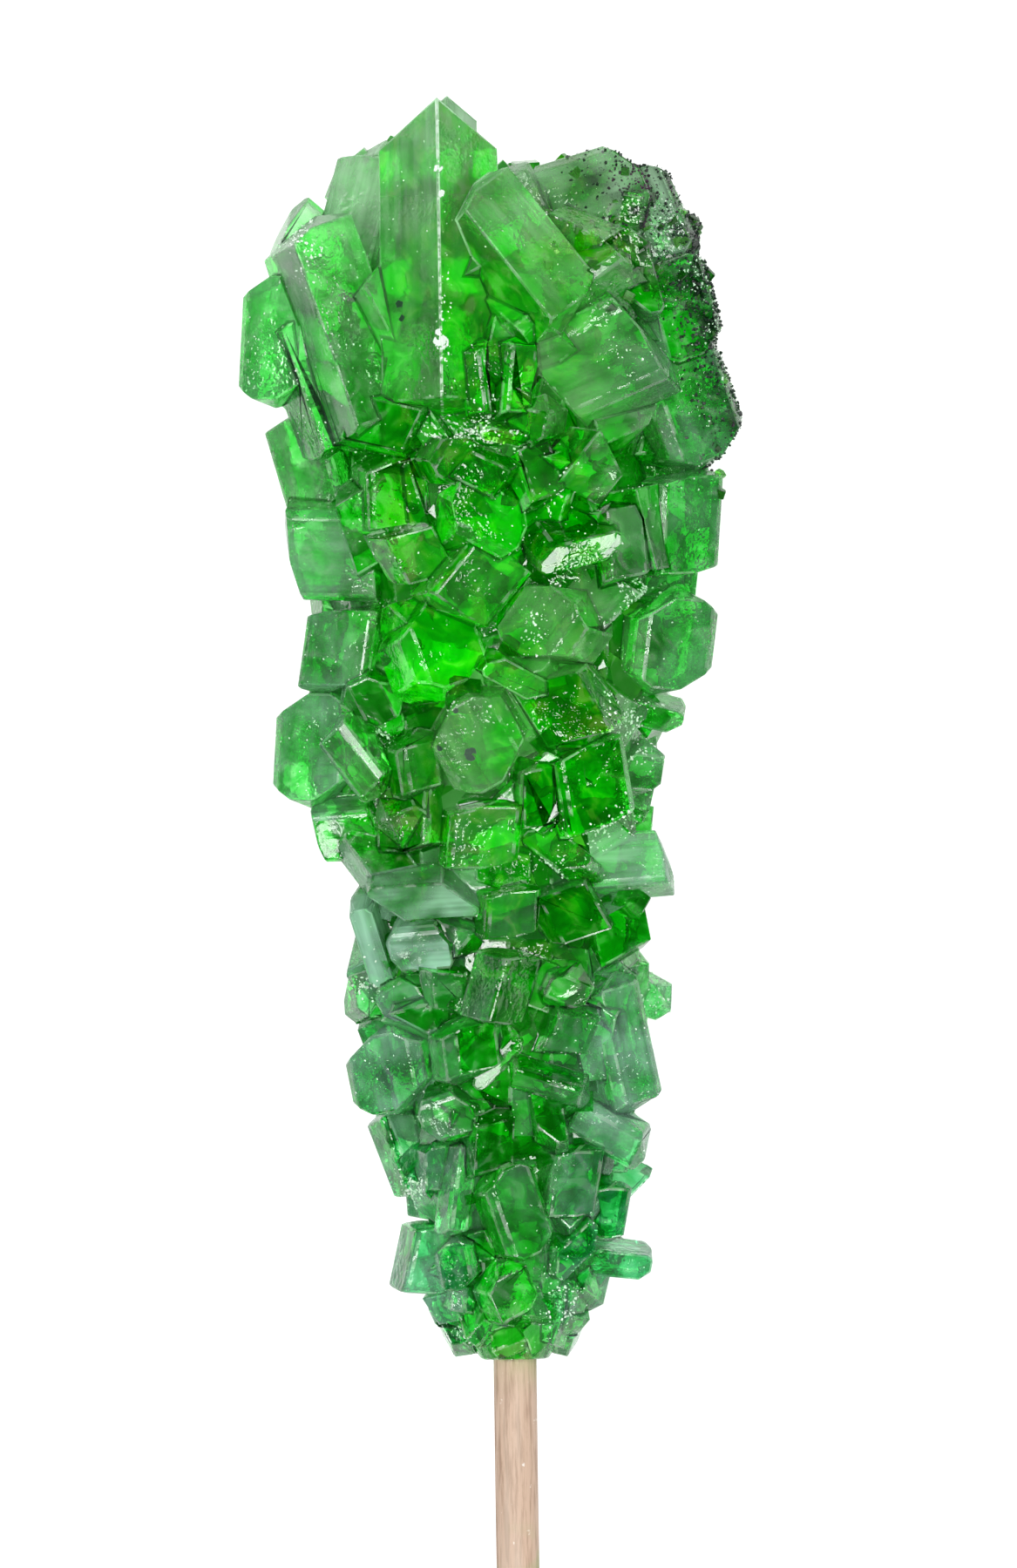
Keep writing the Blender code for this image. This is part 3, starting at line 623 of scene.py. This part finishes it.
def clear_sugar(name, absorption, deep, flank, foot_colour, frost_and_sheen, rub_and_highlight, smoothest, roughest):
    """Clear dyed sugar: tinted all through, frosted on chance facets and on the spear, where the frost
    is also a painted reflection, rubbed pale on its edges as wear and as a painted highlight, and
    painted darker in its hollows and grooves as shade.
    """
    finish, tree, shader = new_material(name)
    shader.inputs["Transmission Weight"].default_value = 0.85
    shader.inputs["IOR"].default_value = 1.54
    shader.inputs["Coat Roughness"].default_value = 0.45
    shader.inputs["Coat IOR"].default_value = 1.9
    dye = node(tree, "ShaderNodeGroup", node_tree=sugar_dye, Deep=deep, Flank=flank, Foot=foot_colour)
    here = own_place(tree)
    facet = attribute(tree, "facet")
    chips = noise(tree, here, 900.0, 3.0)
    growth = noise(tree, here, 230.0, 2.0)
    flaws = noise(tree, here, 420.0, 2.0, Distortion=1.8)
    ribs = node(tree, "ShaderNodeGroup", node_tree=growth_ribs).outputs["Ribs"]
    place = node(tree, "ShaderNodeGroup", node_tree=place_on_candy).outputs
    towards_sides = spread(tree, calc(tree, "ABSOLUTE", place["Across"]), 5.0, 11.0, 0.25, 1.0)
    by_chance = times(tree, spread(tree, facet, 0.6, 1.0, 0.0, frost_and_sheen), towards_sides)
    # painted reflection: the spear's upper facets are painted pale like frost, for the light above that they
    # mirror
    spear_sheen = times(tree, spread(tree, place["Along"], 72.0, 86.0, 0.0, frost_and_sheen),
                     spread(tree, place["Across"], 4.0, 1.0))
    frost_and_sheen_share = greater(tree, by_chance, spear_sheen)
    frosted_and_sheen = times(tree, frost_and_sheen_share, spread(tree, ribs, 0.38, 0.62, 0.25, 1.0))
    # wear and painted highlight: the outward rims are painted pale, broken up by the chips noise
    rubbed = times(tree, attribute(tree, "worn"), spread(tree, chips, 0.48, 0.60, 0.0, rub_and_highlight))
    # painted shade: a fine dark line in each groove between two crystals
    painted_groove_shade = times(tree, attribute(tree, "groove"), 0.85)
    hazy = times(tree, spread(tree, place["Along"], 70.0, 84.0, 0.2, 0.7),
                 spread(tree, place["Across"], 3.0, 0.5))
    shoulder = times(tree, spread(tree, place["Along"], 75.0, 81.0), spread(tree, place["Across"], 0.5, 3.0))
    depth = calc(tree, "MULTIPLY", spread(tree, flaws, 0.36, 0.64, 2.4, 0.42),
                 spread(tree, facet, 0.0, 1.0, 1.5, 0.7))  # the tint is deeper in some places
    depth = calc(tree, "MULTIPLY", depth,  # and thinner in the crown
                 spread(tree, greater(tree, hazy, shoulder), 0.1, 0.6, 1.0, 0.45))
    colour = node(tree, "ShaderNodeGamma", Color=dye.outputs["Colour"], Gamma=depth).outputs["Color"]
    # painted shade: darker green where other crystals close in round a facet and shade it
    painted_hollow_shade = spread(tree, attribute(tree, "openness"), 0.45, 0.1, 0.0, 0.8)
    colour = blended(tree, painted_hollow_shade, colour, PAINTED_HOLLOW_SHADE_COLOUR)
    towards_rim = calc(tree, "MULTIPLY_ADD", place["Along"], RIM_SLANT, place["Across"])
    over_crown = calc(tree, "MULTIPLY_ADD", place["Across"], BAND_SLANT, place["Along"])
    off_band = calc(tree, "ABSOLUTE", calc(tree, "SUBTRACT", over_crown, BAND_AT))
    in_band = times(tree, spread(tree, off_band, 2.0, 0.5, 0.0, 0.9), spread(tree, place["Across"], 5.0, 7.0))
    at_rim = greater(tree, spread(tree, towards_rim, 37.0, 39.2, 0.0, 0.95), in_band)
    at_rim = times(tree, at_rim, spread(tree, chips, 0.42, 0.54, 0.1, 1.0))
    colour = blended(tree, at_rim, colour, RIM_SUGAR)
    colour = blended(tree, frosted_and_sheen, colour, FROST_AND_SHEEN_SUGAR)
    colour = blended(tree, painted_groove_shade, colour, PAINTED_GROOVE_SHADE_COLOUR)
    colour = blended(tree, rubbed, colour, RUBBED_AND_HIGHLIT_SUGAR)
    tree.links.new(colour, shader.inputs["Base Color"])
    tree.links.new(frosted_and_sheen, shader.inputs["Coat Weight"])
    dull = greater(tree, greater(tree, frosted_and_sheen, rubbed), hazy)
    tree.links.new(spread(tree, dull, 0, 1, smoothest, roughest), shader.inputs["Roughness"])
    waves = node(tree, "ShaderNodeBump", Height=growth, Strength=0.5, Distance=0.35 * MM)
    waves = node(tree, "ShaderNodeBump", Height=flaws, Strength=0.25, Distance=0.15 * MM,
                 Normal=waves.outputs["Normal"])
    relief = node(tree, "ShaderNodeBump", Height=ribs, Strength=0.3, Distance=0.05 * MM,
                  Normal=waves.outputs["Normal"])
    pits = noise(tree, here, 2400.0, 1.0)
    pitted = times(tree, spread(tree, pits, 0.35, 0.65), spread(tree, growth, 0.50, 0.60))
    sparkle = node(tree, "ShaderNodeBump", Height=pitted, Strength=0.6, Distance=0.07 * MM,
                   Normal=relief.outputs["Normal"])
    tree.links.new(sparkle.outputs["Normal"], shader.inputs["Normal"])
    dyed = node(tree, "ShaderNodeVolumeAbsorption", Color=(0.06, 0.93, 0.03, 1), Density=absorption)
    ray = node(tree, "ShaderNodeLightPath")
    lamps_pass = node(tree, "ShaderNodeBsdfTransparent")
    surface = node(tree, "ShaderNodeMixShader")
    fill(tree, surface.inputs,
         (ray.outputs["Is Shadow Ray"], shader.outputs["BSDF"], lamps_pass.outputs["BSDF"]))
    result = tree.nodes["Material Output"]
    tree.links.new(surface.outputs["Shader"], result.inputs["Surface"])
    tree.links.new(dyed.outputs["Volume"], result.inputs["Volume"])
    return finish


outer_sugar = clear_sugar(
    "outer_sugar", absorption=240.0, deep=(0.028, 0.68, 0.002, 1), flank=(0.30, 0.84, 0.36, 1),
    foot_colour=(0.19, 0.68, 0.52, 1), frost_and_sheen=0.35, rub_and_highlight=0.85, smoothest=0.03, roughest=0.40)
crystals.data.materials.clear()
crystals.data.materials.append(outer_sugar)
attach(crystals, "root")
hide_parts("candy")

# ---------------------------------------------------------------------------------------------
# Milky film and painted sheen
# The last syrup to dry leaves a thin film of very fine sugar on some facets, which veils the
# clear green under it. In the listed places, and most near the tip, the veil is also a painted
# reflection of the light above. It follows the ribs of the facet, is paler near the tip as painted
# sheen, and is painted white and powdery along the long ridge of the spear as a painted highlight.

MILKY_AND_SHEEN_PLACES = (  # from and to across, from and to along, and how milky, the milk being partly painted sheen
    (-8.6, 0.6, 78.0, 90.5, 1.25), (-8.6, -4.0, 67.0, 78.0, 0.4), (-4.0, 0.6, 67.0, 78.0, 0.05),
    (-14.6, -9.5, 75.0, 83.0, 0.7), (-15.5, -11.4, 65.5, 75.0, 0.4), (-18.5, -15.0, 67.0, 79.0, 0.5),
    (-12.8, -8.6, 83.0, 88.0, 0.9), (0.6, 6.5, 76.5, 86.0, 0.6), (2.8, 12.2, 66.6, 75.6, 0.7),
    (3.0, 9.0, 80.0, 87.0, 0.5), (-15.8, -9.0, 54.0, 61.0, 0.8), (-14.4, -9.8, 47.0, 54.0, 0.7),
    (-17.0, -11.4, 38.5, 48.6, 1.4), (-5.4, 2.2, 40.2, 48.4, 0.7), (0.8, 7.0, 48.6, 55.6, 0.7),
    (9.4, 15.5, 46.8, 55.6, 0.6), (7.4, 11.0, 39.5, 47.0, 1.0), (6.4, 12.4, 32.6, 37.8, 1.2),
    (-10.8, -2.0, 31.8, 36.2, 0.7), (-12.0, -5.2, 28.0, 33.6, 1.5), (6.0, 11.0, 15.5, 28.0, 0.8),
    (-11.2, -5.4, 18.0, 24.2, 0.8), (12.0, 17.0, 56.0, 70.0, 0.5),
)
MILKY_ELSEWHERE = 0.16  # the share of the other facets that have some of it
FILM = 0.02 * MM  # how far the film lies off the facets, and a little more than its thickness


def milky_film():
    """The milky facets, fine sugar film and painted sheen, lifted off the clear crystals and made into thin
    closed plates.
    """
    shape = bmesh.new()
    shape.from_mesh(crystals.data)
    shape.normal_update()
    milk_and_sheen = shape.faces.layers.float.new("milk_and_sheen")
    facet = shape.faces.layers.float["facet"]
    clear = []
    for face in shape.faces:
        spot = (off_table @ face.calc_center_median()) / MM
        amounts = [milky_and_sheen for left, right, low, high, milky_and_sheen in MILKY_AND_SHEEN_PLACES
                   if spot.z > 0 and left < spot.x < right and low < spot.y < high]
        by_chance = 0.7 if (face[facet] * 7.0) % 1.0 < MILKY_ELSEWHERE else 0.0
        if spot.z > 0 and abs(spot.x) < 7:
            by_chance *= 0.3
        low_down = max(0.0, 0.85 - spot.y / 42) * min(max((abs(spot.x) - 1.5) / 5, 0), 1)
        face[milk_and_sheen] = max(amounts, default=max(by_chance, low_down) if face[facet] > 0.3 else by_chance)
        if face[milk_and_sheen] < 0.05:
            clear.append(face)
    bmesh.ops.delete(shape, geom=clear, context="FACES")
    bmesh.ops.split_edges(shape, edges=[
        edge for edge in shape.edges
        if len(edge.link_faces) == 2 and edge.calc_face_angle() > math.radians(2)])
    shape.normal_update()
    for vert in shape.verts:
        vert.co += vert.normal * FILM
    shown = set(shape.faces)
    bmesh.ops.solidify(shape, geom=shape.faces[:], thickness=0.8 * FILM)
    for face in set(shape.faces) - shown:  # the film's underside and rim add nothing to the veil
        face[milk_and_sheen] = 0.0
    keep_in_box(shape.verts)
    return shape


film_and_sheen = new_piece("milky_film", milky_film())


def flecks(tree, place, ragged, spots):
    """A mask of ragged flecks, each given as (across, along, radius) in millimetres."""
    flat_place = node(tree, "ShaderNodeCombineXYZ", X=place["Across"], Y=place["Along"]).outputs["Vector"]
    mask = None
    for across, along, radius in spots:
        distance = vector_math(tree, "DISTANCE", flat_place, (across, along, 0))["Value"]
        fleck = spread(tree, distance, 1.3 * radius, 0.5 * radius)
        mask = fleck if mask is None else greater(tree, mask, fleck)
    return spread(tree, times(tree, mask, ragged), 0.30, 0.42)


HIGHLIGHT_FLECKS = ((-4.0, 72.4, 0.55), (-4.1, 73.1, 0.3), (-4.0, 84.7, 0.4), (-3.8, 82.9, 0.3))
DARK_FLECKS = ((-2.4, 43.2, 0.50), (-4.6, 43.7, 0.25), (-3.4, 46.3, 0.2), (-6.9, 75.2, 0.3),
               (-6.8, 74.2, 0.25))
RIDGE_AT = -4.0  # the spear's ridge, across the stick
FILM_MIDDLE = (0.24, 0.66, 0.21, 1)
FILM_ASIDE = (0.20, 0.44, 0.27, 1)
FILM_AT_FOOT = (0.42, 0.74, 0.58, 1)
PAINTED_SHEEN_AT_TIP = (0.50, 0.84, 0.52, 1)
RIDGE_HIGHLIGHT_WHITE = (0.86, 0.97, 0.88, 1)
DARK_DYE = (0.01, 0.05, 0.02, 1)
fine_sugar, tree, shader = new_material("fine_sugar")
place = node(tree, "ShaderNodeGroup", node_tree=place_on_candy).outputs
milk_and_sheen = attribute(tree, "milk_and_sheen")
ribs = node(tree, "ShaderNodeGroup", node_tree=growth_ribs).outputs["Ribs"]
clouds = noise(tree, own_place(tree), 260.0, 2.0)
powder = noise(tree, own_place(tree), 2200.0, 2.0)
ragged = spread(tree, powder, 0.35, 0.60, 0.2, 1.0)
on_top = spread(tree, milk_and_sheen, 0.01, 0.02)  # nothing shows on the plates' undersides
beside_ridge = calc(tree, "ABSOLUTE", calc(tree, "ADD", place["Across"], -RIDGE_AT))
# painted highlight: a white line along the spear's ridge, with white flecks on it
painted_ridge_highlight = times(tree, spread(tree, beside_ridge, 0.16, 0.05),
                 times(tree, spread(tree, place["Along"], 66.8, 68.0), spread(tree, place["Over"], 4.0, 6.0)))
painted_ridge_highlight = times(tree, painted_ridge_highlight, spread(tree, powder, 0.38, 0.58, 0.15, 0.9))
painted_ridge_highlight = times(tree, greater(tree, painted_ridge_highlight, flecks(tree, place, ragged, HIGHLIGHT_FLECKS)), on_top)
dark_flecks = times(tree, flecks(tree, place, ragged, DARK_FLECKS), on_top)
# painted reflection as well as film: the veil is thicker towards the tip, where the light above is mirrored
veil_and_painted_sheen = times(tree, spread(tree, ribs, 0.32, 0.68, 0.20, 0.38), spread(tree, clouds, 0.38, 0.62, 0.25, 1.3))
veil_and_painted_sheen = times(tree, times(tree, veil_and_painted_sheen, milk_and_sheen), spread(tree, place["Along"], 77.0, 88.0, 1.0, 2.0))
aside = spread(tree, calc(tree, "ABSOLUTE", place["Across"]), 6.0, 12.0)
film_and_sheen_colour = blended(tree, aside, FILM_MIDDLE, FILM_ASIDE)
film_and_sheen_colour = blended(tree, spread(tree, place["Along"], 42.0, 28.0), film_and_sheen_colour, FILM_AT_FOOT)
# painted sheen: the film is paler near the tip
film_and_sheen_colour = blended(tree, spread(tree, place["Along"], 76.0, 86.0), film_and_sheen_colour, PAINTED_SHEEN_AT_TIP)
film_and_sheen_colour = blended(tree, painted_ridge_highlight, film_and_sheen_colour, RIDGE_HIGHLIGHT_WHITE)
film_and_sheen_colour = blended(tree, dark_flecks, film_and_sheen_colour, DARK_DYE)
tree.links.new(film_and_sheen_colour, shader.inputs["Base Color"])
tree.links.new(greater(tree, greater(tree, veil_and_painted_sheen, painted_ridge_highlight), dark_flecks), shader.inputs["Alpha"])
tree.links.new(spread(tree, powder, 0.3, 0.7, 0.3, 0.6), shader.inputs["Roughness"])
film_and_sheen.data.materials.clear()
film_and_sheen.data.materials.append(fine_sugar)
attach(film_and_sheen, "root")
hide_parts("candy")

# ---------------------------------------------------------------------------------------------
# Rough crust
# The side of the crown that lay against the glass it was grown in: a crust of grains of up to
# about a millimetre, with specks of undissolved dye of up to a quarter of one along its rim.

GRAIN_DARK = (0.008, 0.20, 0.006, 1)
GRAIN_BRIGHT = (0.22, 0.86, 0.12, 1)
GRAIN_FROSTED = (0.45, 0.80, 0.50, 1)
BLACK_DYE = (0.005, 0.022, 0.010, 1)
PURPLE_DYE = (0.05, 0.012, 0.045, 1)
grain_sugar, tree, shader = new_material("grain_sugar")
shader.inputs["Transmission Weight"].default_value = 0.8
shader.inputs["IOR"].default_value = 1.54
clouds = noise(tree, own_place(tree), 900.0, 2.0)
grain = blended(tree, spread(tree, attribute(tree, "shade"), 0.2, 0.9), GRAIN_DARK, GRAIN_BRIGHT)
grain = blended(tree, spread(tree, clouds, 0.58, 0.75, 0, 0.3), grain, GRAIN_FROSTED)
tree.links.new(grain, shader.inputs["Base Color"])
tree.links.new(spread(tree, clouds, 0.3, 0.7, 0.12, 0.45), shader.inputs["Roughness"])


def on_rim(across, along, over, openness):
    """The dark rim runs down the right of the crown, and a patch of it lies across the crown's top."""
    if along < 62:
        return 0.0
    rim = 16.5 if along < 69 else 16.5 - (along - 69) * RIM_SLANT
    patch = 1.2 - abs(along + BAND_SLANT * across - BAND_AT) / 1.8 if 5 < across < 13 else 0.0
    return max((across - rim + 3.0) / 3.0, patch) * min((along - 62) / 3, 1)


def on_rough_side(across, along, over, openness):
    """The crust reaches further in than the dark rim does, over the right of the crown."""
    broken = 1.2 - math.hypot((across - 9.5) / 5.5, (along - 78.5) / 4.5)
    return max(on_rim(across, along, over, openness), broken)


mark_ground("rough_side", on_rough_side)
mark_ground("rough_rim", on_rim)
crust = strewn("rough_crust", grain_sugar, Forms=crystal_forms("grain_forms", 9), Where="rough_side",
               Per_Square_Metre=4600000.0, Smallest=0.2 * MM, Largest=1.1 * MM, Patch_Scale=420.0,
               Patchiness=0.85, Least_Share_Out=0.98, Most_Share_Out=1.0, Sunk=0.15 * MM, Seed=21)
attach(crust, "root")
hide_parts("candy")

dye_grains, tree, shader = new_material("dye_grains")
hue = noise(tree, own_place(tree), 300.0, 1.0)
dark = blended(tree, spread(tree, hue, 0.56, 0.68), BLACK_DYE, PURPLE_DYE)
tree.links.new(dark, shader.inputs["Base Color"])
tree.links.new(spread(tree, hue, 0.3, 0.7, 0.3, 0.6), shader.inputs["Roughness"])
specks = strewn("dye_specks", dye_grains, Forms=crystal_forms("speck_forms", 10, cut_ends=(1,)),
                Where="rough_rim", Per_Square_Metre=48000000.0, Smallest=0.04 * MM, Largest=0.26 * MM,
                Patch_Scale=720.0, Patchiness=0.85, Least_Share_Out=1.0, Most_Share_Out=1.0,
                Sunk=-0.05 * MM, Seed=31)
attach(specks, "root")
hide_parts("candy")

# ---------------------------------------------------------------------------------------------
# Small crystals
# Sugar crystals of one to three millimetres that grew last, in the grooves between the large
# ones and on the crown's rough side, half sunk in them and turned every way.


def in_grooves(across, along, over, openness):
    """In the grooves, fewer of them on the crown, none on the spear, and many on its rough side."""
    amount = (0.5 - openness) / 0.3
    amount *= off_spear(across, along, over, openness) * (1.0 if along < 64 else 0.5)
    return max(amount, 0.6 * on_rough_side(across, along, over, openness))


mark_ground("grooves", in_grooves)
small = strewn("small_crystals", outer_sugar, Forms=crystal_forms("small_forms", 8), Where="grooves",
               Per_Square_Metre=90000.0, Smallest=0.9 * MM, Largest=2.8 * MM, Least_Share_Out=0.94,
               Most_Share_Out=1.0, Sunk=0.3 * MM, Seed=11)
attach(small, "root")
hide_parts("candy")

# ---------------------------------------------------------------------------------------------
# Crystals on the far end
# Clear sugar crystals of one to four millimetres, grown thick over the end of the cluster that
# faces away from the stick, under the overhang of the crown.

FAR_END = 77.0  # along the stick, in millimetres


def on_far_end(across, along, over, openness):
    """They keep under the crown's own crystals, so that they add nothing to its outline."""
    return min((along - FAR_END) / 1.5, (3.0 - over) / 2, (11.0 - abs(across)) / 1.5)


mark_ground("far_end", on_far_end)
end_crystals = strewn("end_crystals", outer_sugar, Forms=crystal_forms("end_forms", 17), Where="far_end",
                      Per_Square_Metre=420000.0, Smallest=1.2 * MM, Largest=4.2 * MM, Least_Share_Out=0.96,
                      Most_Share_Out=1.0, Sunk=0.5 * MM, Seed=51)
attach(end_crystals, "root")
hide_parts("candy")

# --------------------------------------------------------------------------------------------- Sugar dust and painted glints
# Crumbs of white sugar of up to a quarter of a millimetre, rubbed off the edges and stuck to the
# facets, thinly all over and thickly in some places. The thick places are partly painted glints:
# white flakes laid where highlights fall.

CRUMB_AND_GLINT_GREEN = (0.55, 0.85, 0.58, 1)
CRUMB_AND_GLINT_WHITE = (0.95, 1.0, 0.95, 1)
white_crumbs, tree, shader = new_material("white_crumbs")
clouds = noise(tree, own_place(tree), 400.0, 1.0)
tree.links.new(blended(tree, spread(tree, clouds, 0.35, 0.65), CRUMB_AND_GLINT_GREEN, CRUMB_AND_GLINT_WHITE),
               shader.inputs["Base Color"])
tree.links.new(spread(tree, clouds, 0.3, 0.7, 0.3, 0.55), shader.inputs["Roughness"])

FLAKES_AND_GLINTS_AT = (  # where white flakes lie, partly loose flakes gathered there and partly painted glints, as (across, along, reach) in millimetres
    (-4.0, 84.6, 0.9), (-4.0, 72.4, 0.8), (-1.3, 66.6, 1.6), (1.2, 65.8, 1.0), (8.3, 72.6, 1.2),
    (4.6, 62.4, 0.8), (9.6, 54.8, 1.0), (2.7, 52.4, 1.6), (-2.9, 46.4, 1.0), (8.7, 46.0, 1.6),
    (9.7, 43.4, 1.2), (7.6, 38.8, 1.7), (6.2, 37.2, 1.0), (-8.4, 44.6, 0.9), (3.4, 35.4, 1.0),
    (10.2, 25.8, 1.2), (-9.6, 27.2, 1.2), (-7.0, 12.4, 1.2), (3.6, 4.0, 1.4), (-14.2, 80.2, 0.9),
    (14.4, 77.2, 1.2), (15.4, 72.4, 1.2), (12.8, 80.8, 1.2), (16.2, 69.2, 0.9),
)


def anywhere(across, along, over, openness):
    """All over, and thicker on what stands out."""
    return 0.3 + 0.7 * openness


def where_flakes_and_glints_lie(across, along, over, openness):
    """Thickest in the middle of each of the places."""
    return max(1.3 - math.hypot(across - middle_across, along - middle_along) / reach
               for middle_across, middle_along, reach in FLAKES_AND_GLINTS_AT)


mark_ground("dusty", anywhere)
mark_ground("flake_and_glint_amount", where_flakes_and_glints_lie)
dust = strewn("sugar_dust", white_crumbs, Forms=crystal_forms("crumb_forms", 14, cut_ends=(1,)),
              Where="dusty", Per_Square_Metre=2600000.0, Smallest=0.02 * MM, Largest=0.15 * MM,
              Patch_Scale=170.0, Patchiness=0.95, Least_Share_Out=1.0, Most_Share_Out=1.0,
              Sunk=0.02 * MM, Seed=41)
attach(dust, "root")
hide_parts("candy")
# partly painted glints: white flakes laid in the listed places where highlights fall
flakes_and_glints = strewn("sugar_flakes", white_crumbs, Forms=crystal_forms("flake_forms", 15, cut_ends=(1,)),
                Where="flake_and_glint_amount", Per_Square_Metre=45000000.0, Smallest=0.03 * MM, Largest=0.24 * MM,
                Patch_Scale=700.0, Patchiness=0.98, Least_Share_Out=1.0, Most_Share_Out=1.0,
                Sunk=0.02 * MM, Seed=43)
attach(flakes_and_glints, "root")
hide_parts("candy")

bpy.data.objects.remove(ground)

# ---------------------------------------------------------------------------------------------
# Table and light
# A plain white table, faintly lit from below as a light table is, soft windows to the upper left
# and the right, and a pale room that is brighter towards the table than overhead.

table_top = bmesh.new()
bmesh.ops.create_grid(table_top, x_segments=1, y_segments=1, size=2.0)
table = new_piece("table", table_top)
white_table, tree, shader = new_material("white_table")
mottled = spread(tree, noise(tree, own_place(tree), 40.0, 2.0), 0.3, 0.7)
tree.links.new(blended(tree, mottled, (0.36, 0.36, 0.36, 1), (0.37, 0.37, 0.37, 1)),
               shader.inputs["Base Color"])
shader.inputs["Roughness"].default_value = 0.6
shader.inputs["Emission Color"].default_value = (1, 1, 1, 1)
shader.inputs["Emission Strength"].default_value = 0.86
table.data.materials.append(white_table)

room = bpy.data.worlds.new("room")
room.use_nodes = True
scene.world = room
tree = room.node_tree
sky = tree.nodes["Background"]
way = node(tree, "ShaderNodeTexCoord").outputs["Generated"]
height = node(tree, "ShaderNodeSeparateXYZ", Vector=way).outputs["Z"]
dimmer = spread(tree, height, 0.08, 0.45)
tree.links.new(blended(tree, dimmer, (1, 1, 1, 1), (0.12, 0.12, 0.12, 1)), sky.inputs["Color"])
sky.inputs["Strength"].default_value = 0.25


def window(name, bearing, height, distance, size, radiance):
    """A soft square light seen from the candy at a bearing and a height, both in degrees."""
    turn, rise = math.radians(bearing), math.radians(height)
    away = Vector((math.cos(rise) * math.cos(turn), math.cos(rise) * math.sin(turn), math.sin(rise)))
    light = bpy.data.lights.new(name, "AREA")
    light.size = size
    light.energy = radiance * math.pi * size * size
    hung = bpy.data.objects.new(name, light)
    turned = (-away).to_track_quat("-Z", "Y").to_matrix().to_4x4()
    hung.matrix_world = Matrix.Translation(Vector((0, 0.04, 0.01)) + away * distance) @ turned
    scene.collection.objects.link(hung)


window("high_window", 176, 74, 0.65, 0.24, 16.0)
window("low_front_window", -80, 78, 0.65, 0.12, 16.0)
window("glint_window", -55, 18, 0.60, 0.12, 12.0)
window("left_glint_window", -107, 42, 0.60, 0.07, 14.0)
window("right_window", 35, 62, 0.70, 0.22, 11.0)

# ---------------------------------------------------------------------------------------------
# View
# The camera hangs over the candy, square to the stick and turned by about a degree, on a long
# lens.

FRAMED_HEIGHT = 111.96 * MM  # what the view's height covers, level with the stick
FRAMED_MIDDLE = Vector((0.24, 41.05, 0)) * MM  # across and along the stick, from the candy's foot
CAMERA_ROLL = math.radians(-0.99)
LENS = 500.0
camera = bpy.data.objects.new("camera", bpy.data.cameras.new("camera"))
camera.data.lens = LENS
camera.data.sensor_width = 36.0
camera_height = FRAMED_HEIGHT * LENS / camera.data.sensor_width
camera.matrix_world = (
    on_stick
    @ Matrix.Translation(FRAMED_MIDDLE + Vector((0, 0, camera_height)))
    @ Matrix.Rotation(CAMERA_ROLL, 4, "Z")
)
camera.data.clip_start = 0.01
camera.data.clip_end = 5.0
scene.collection.objects.link(camera)
scene.camera = camera
scene.view_settings.view_transform = "Standard"
scene.cycles.max_bounces = 6
scene.cycles.transmission_bounces = 6
scene.cycles.glossy_bounces = 2
scene.cycles.diffuse_bounces = 1
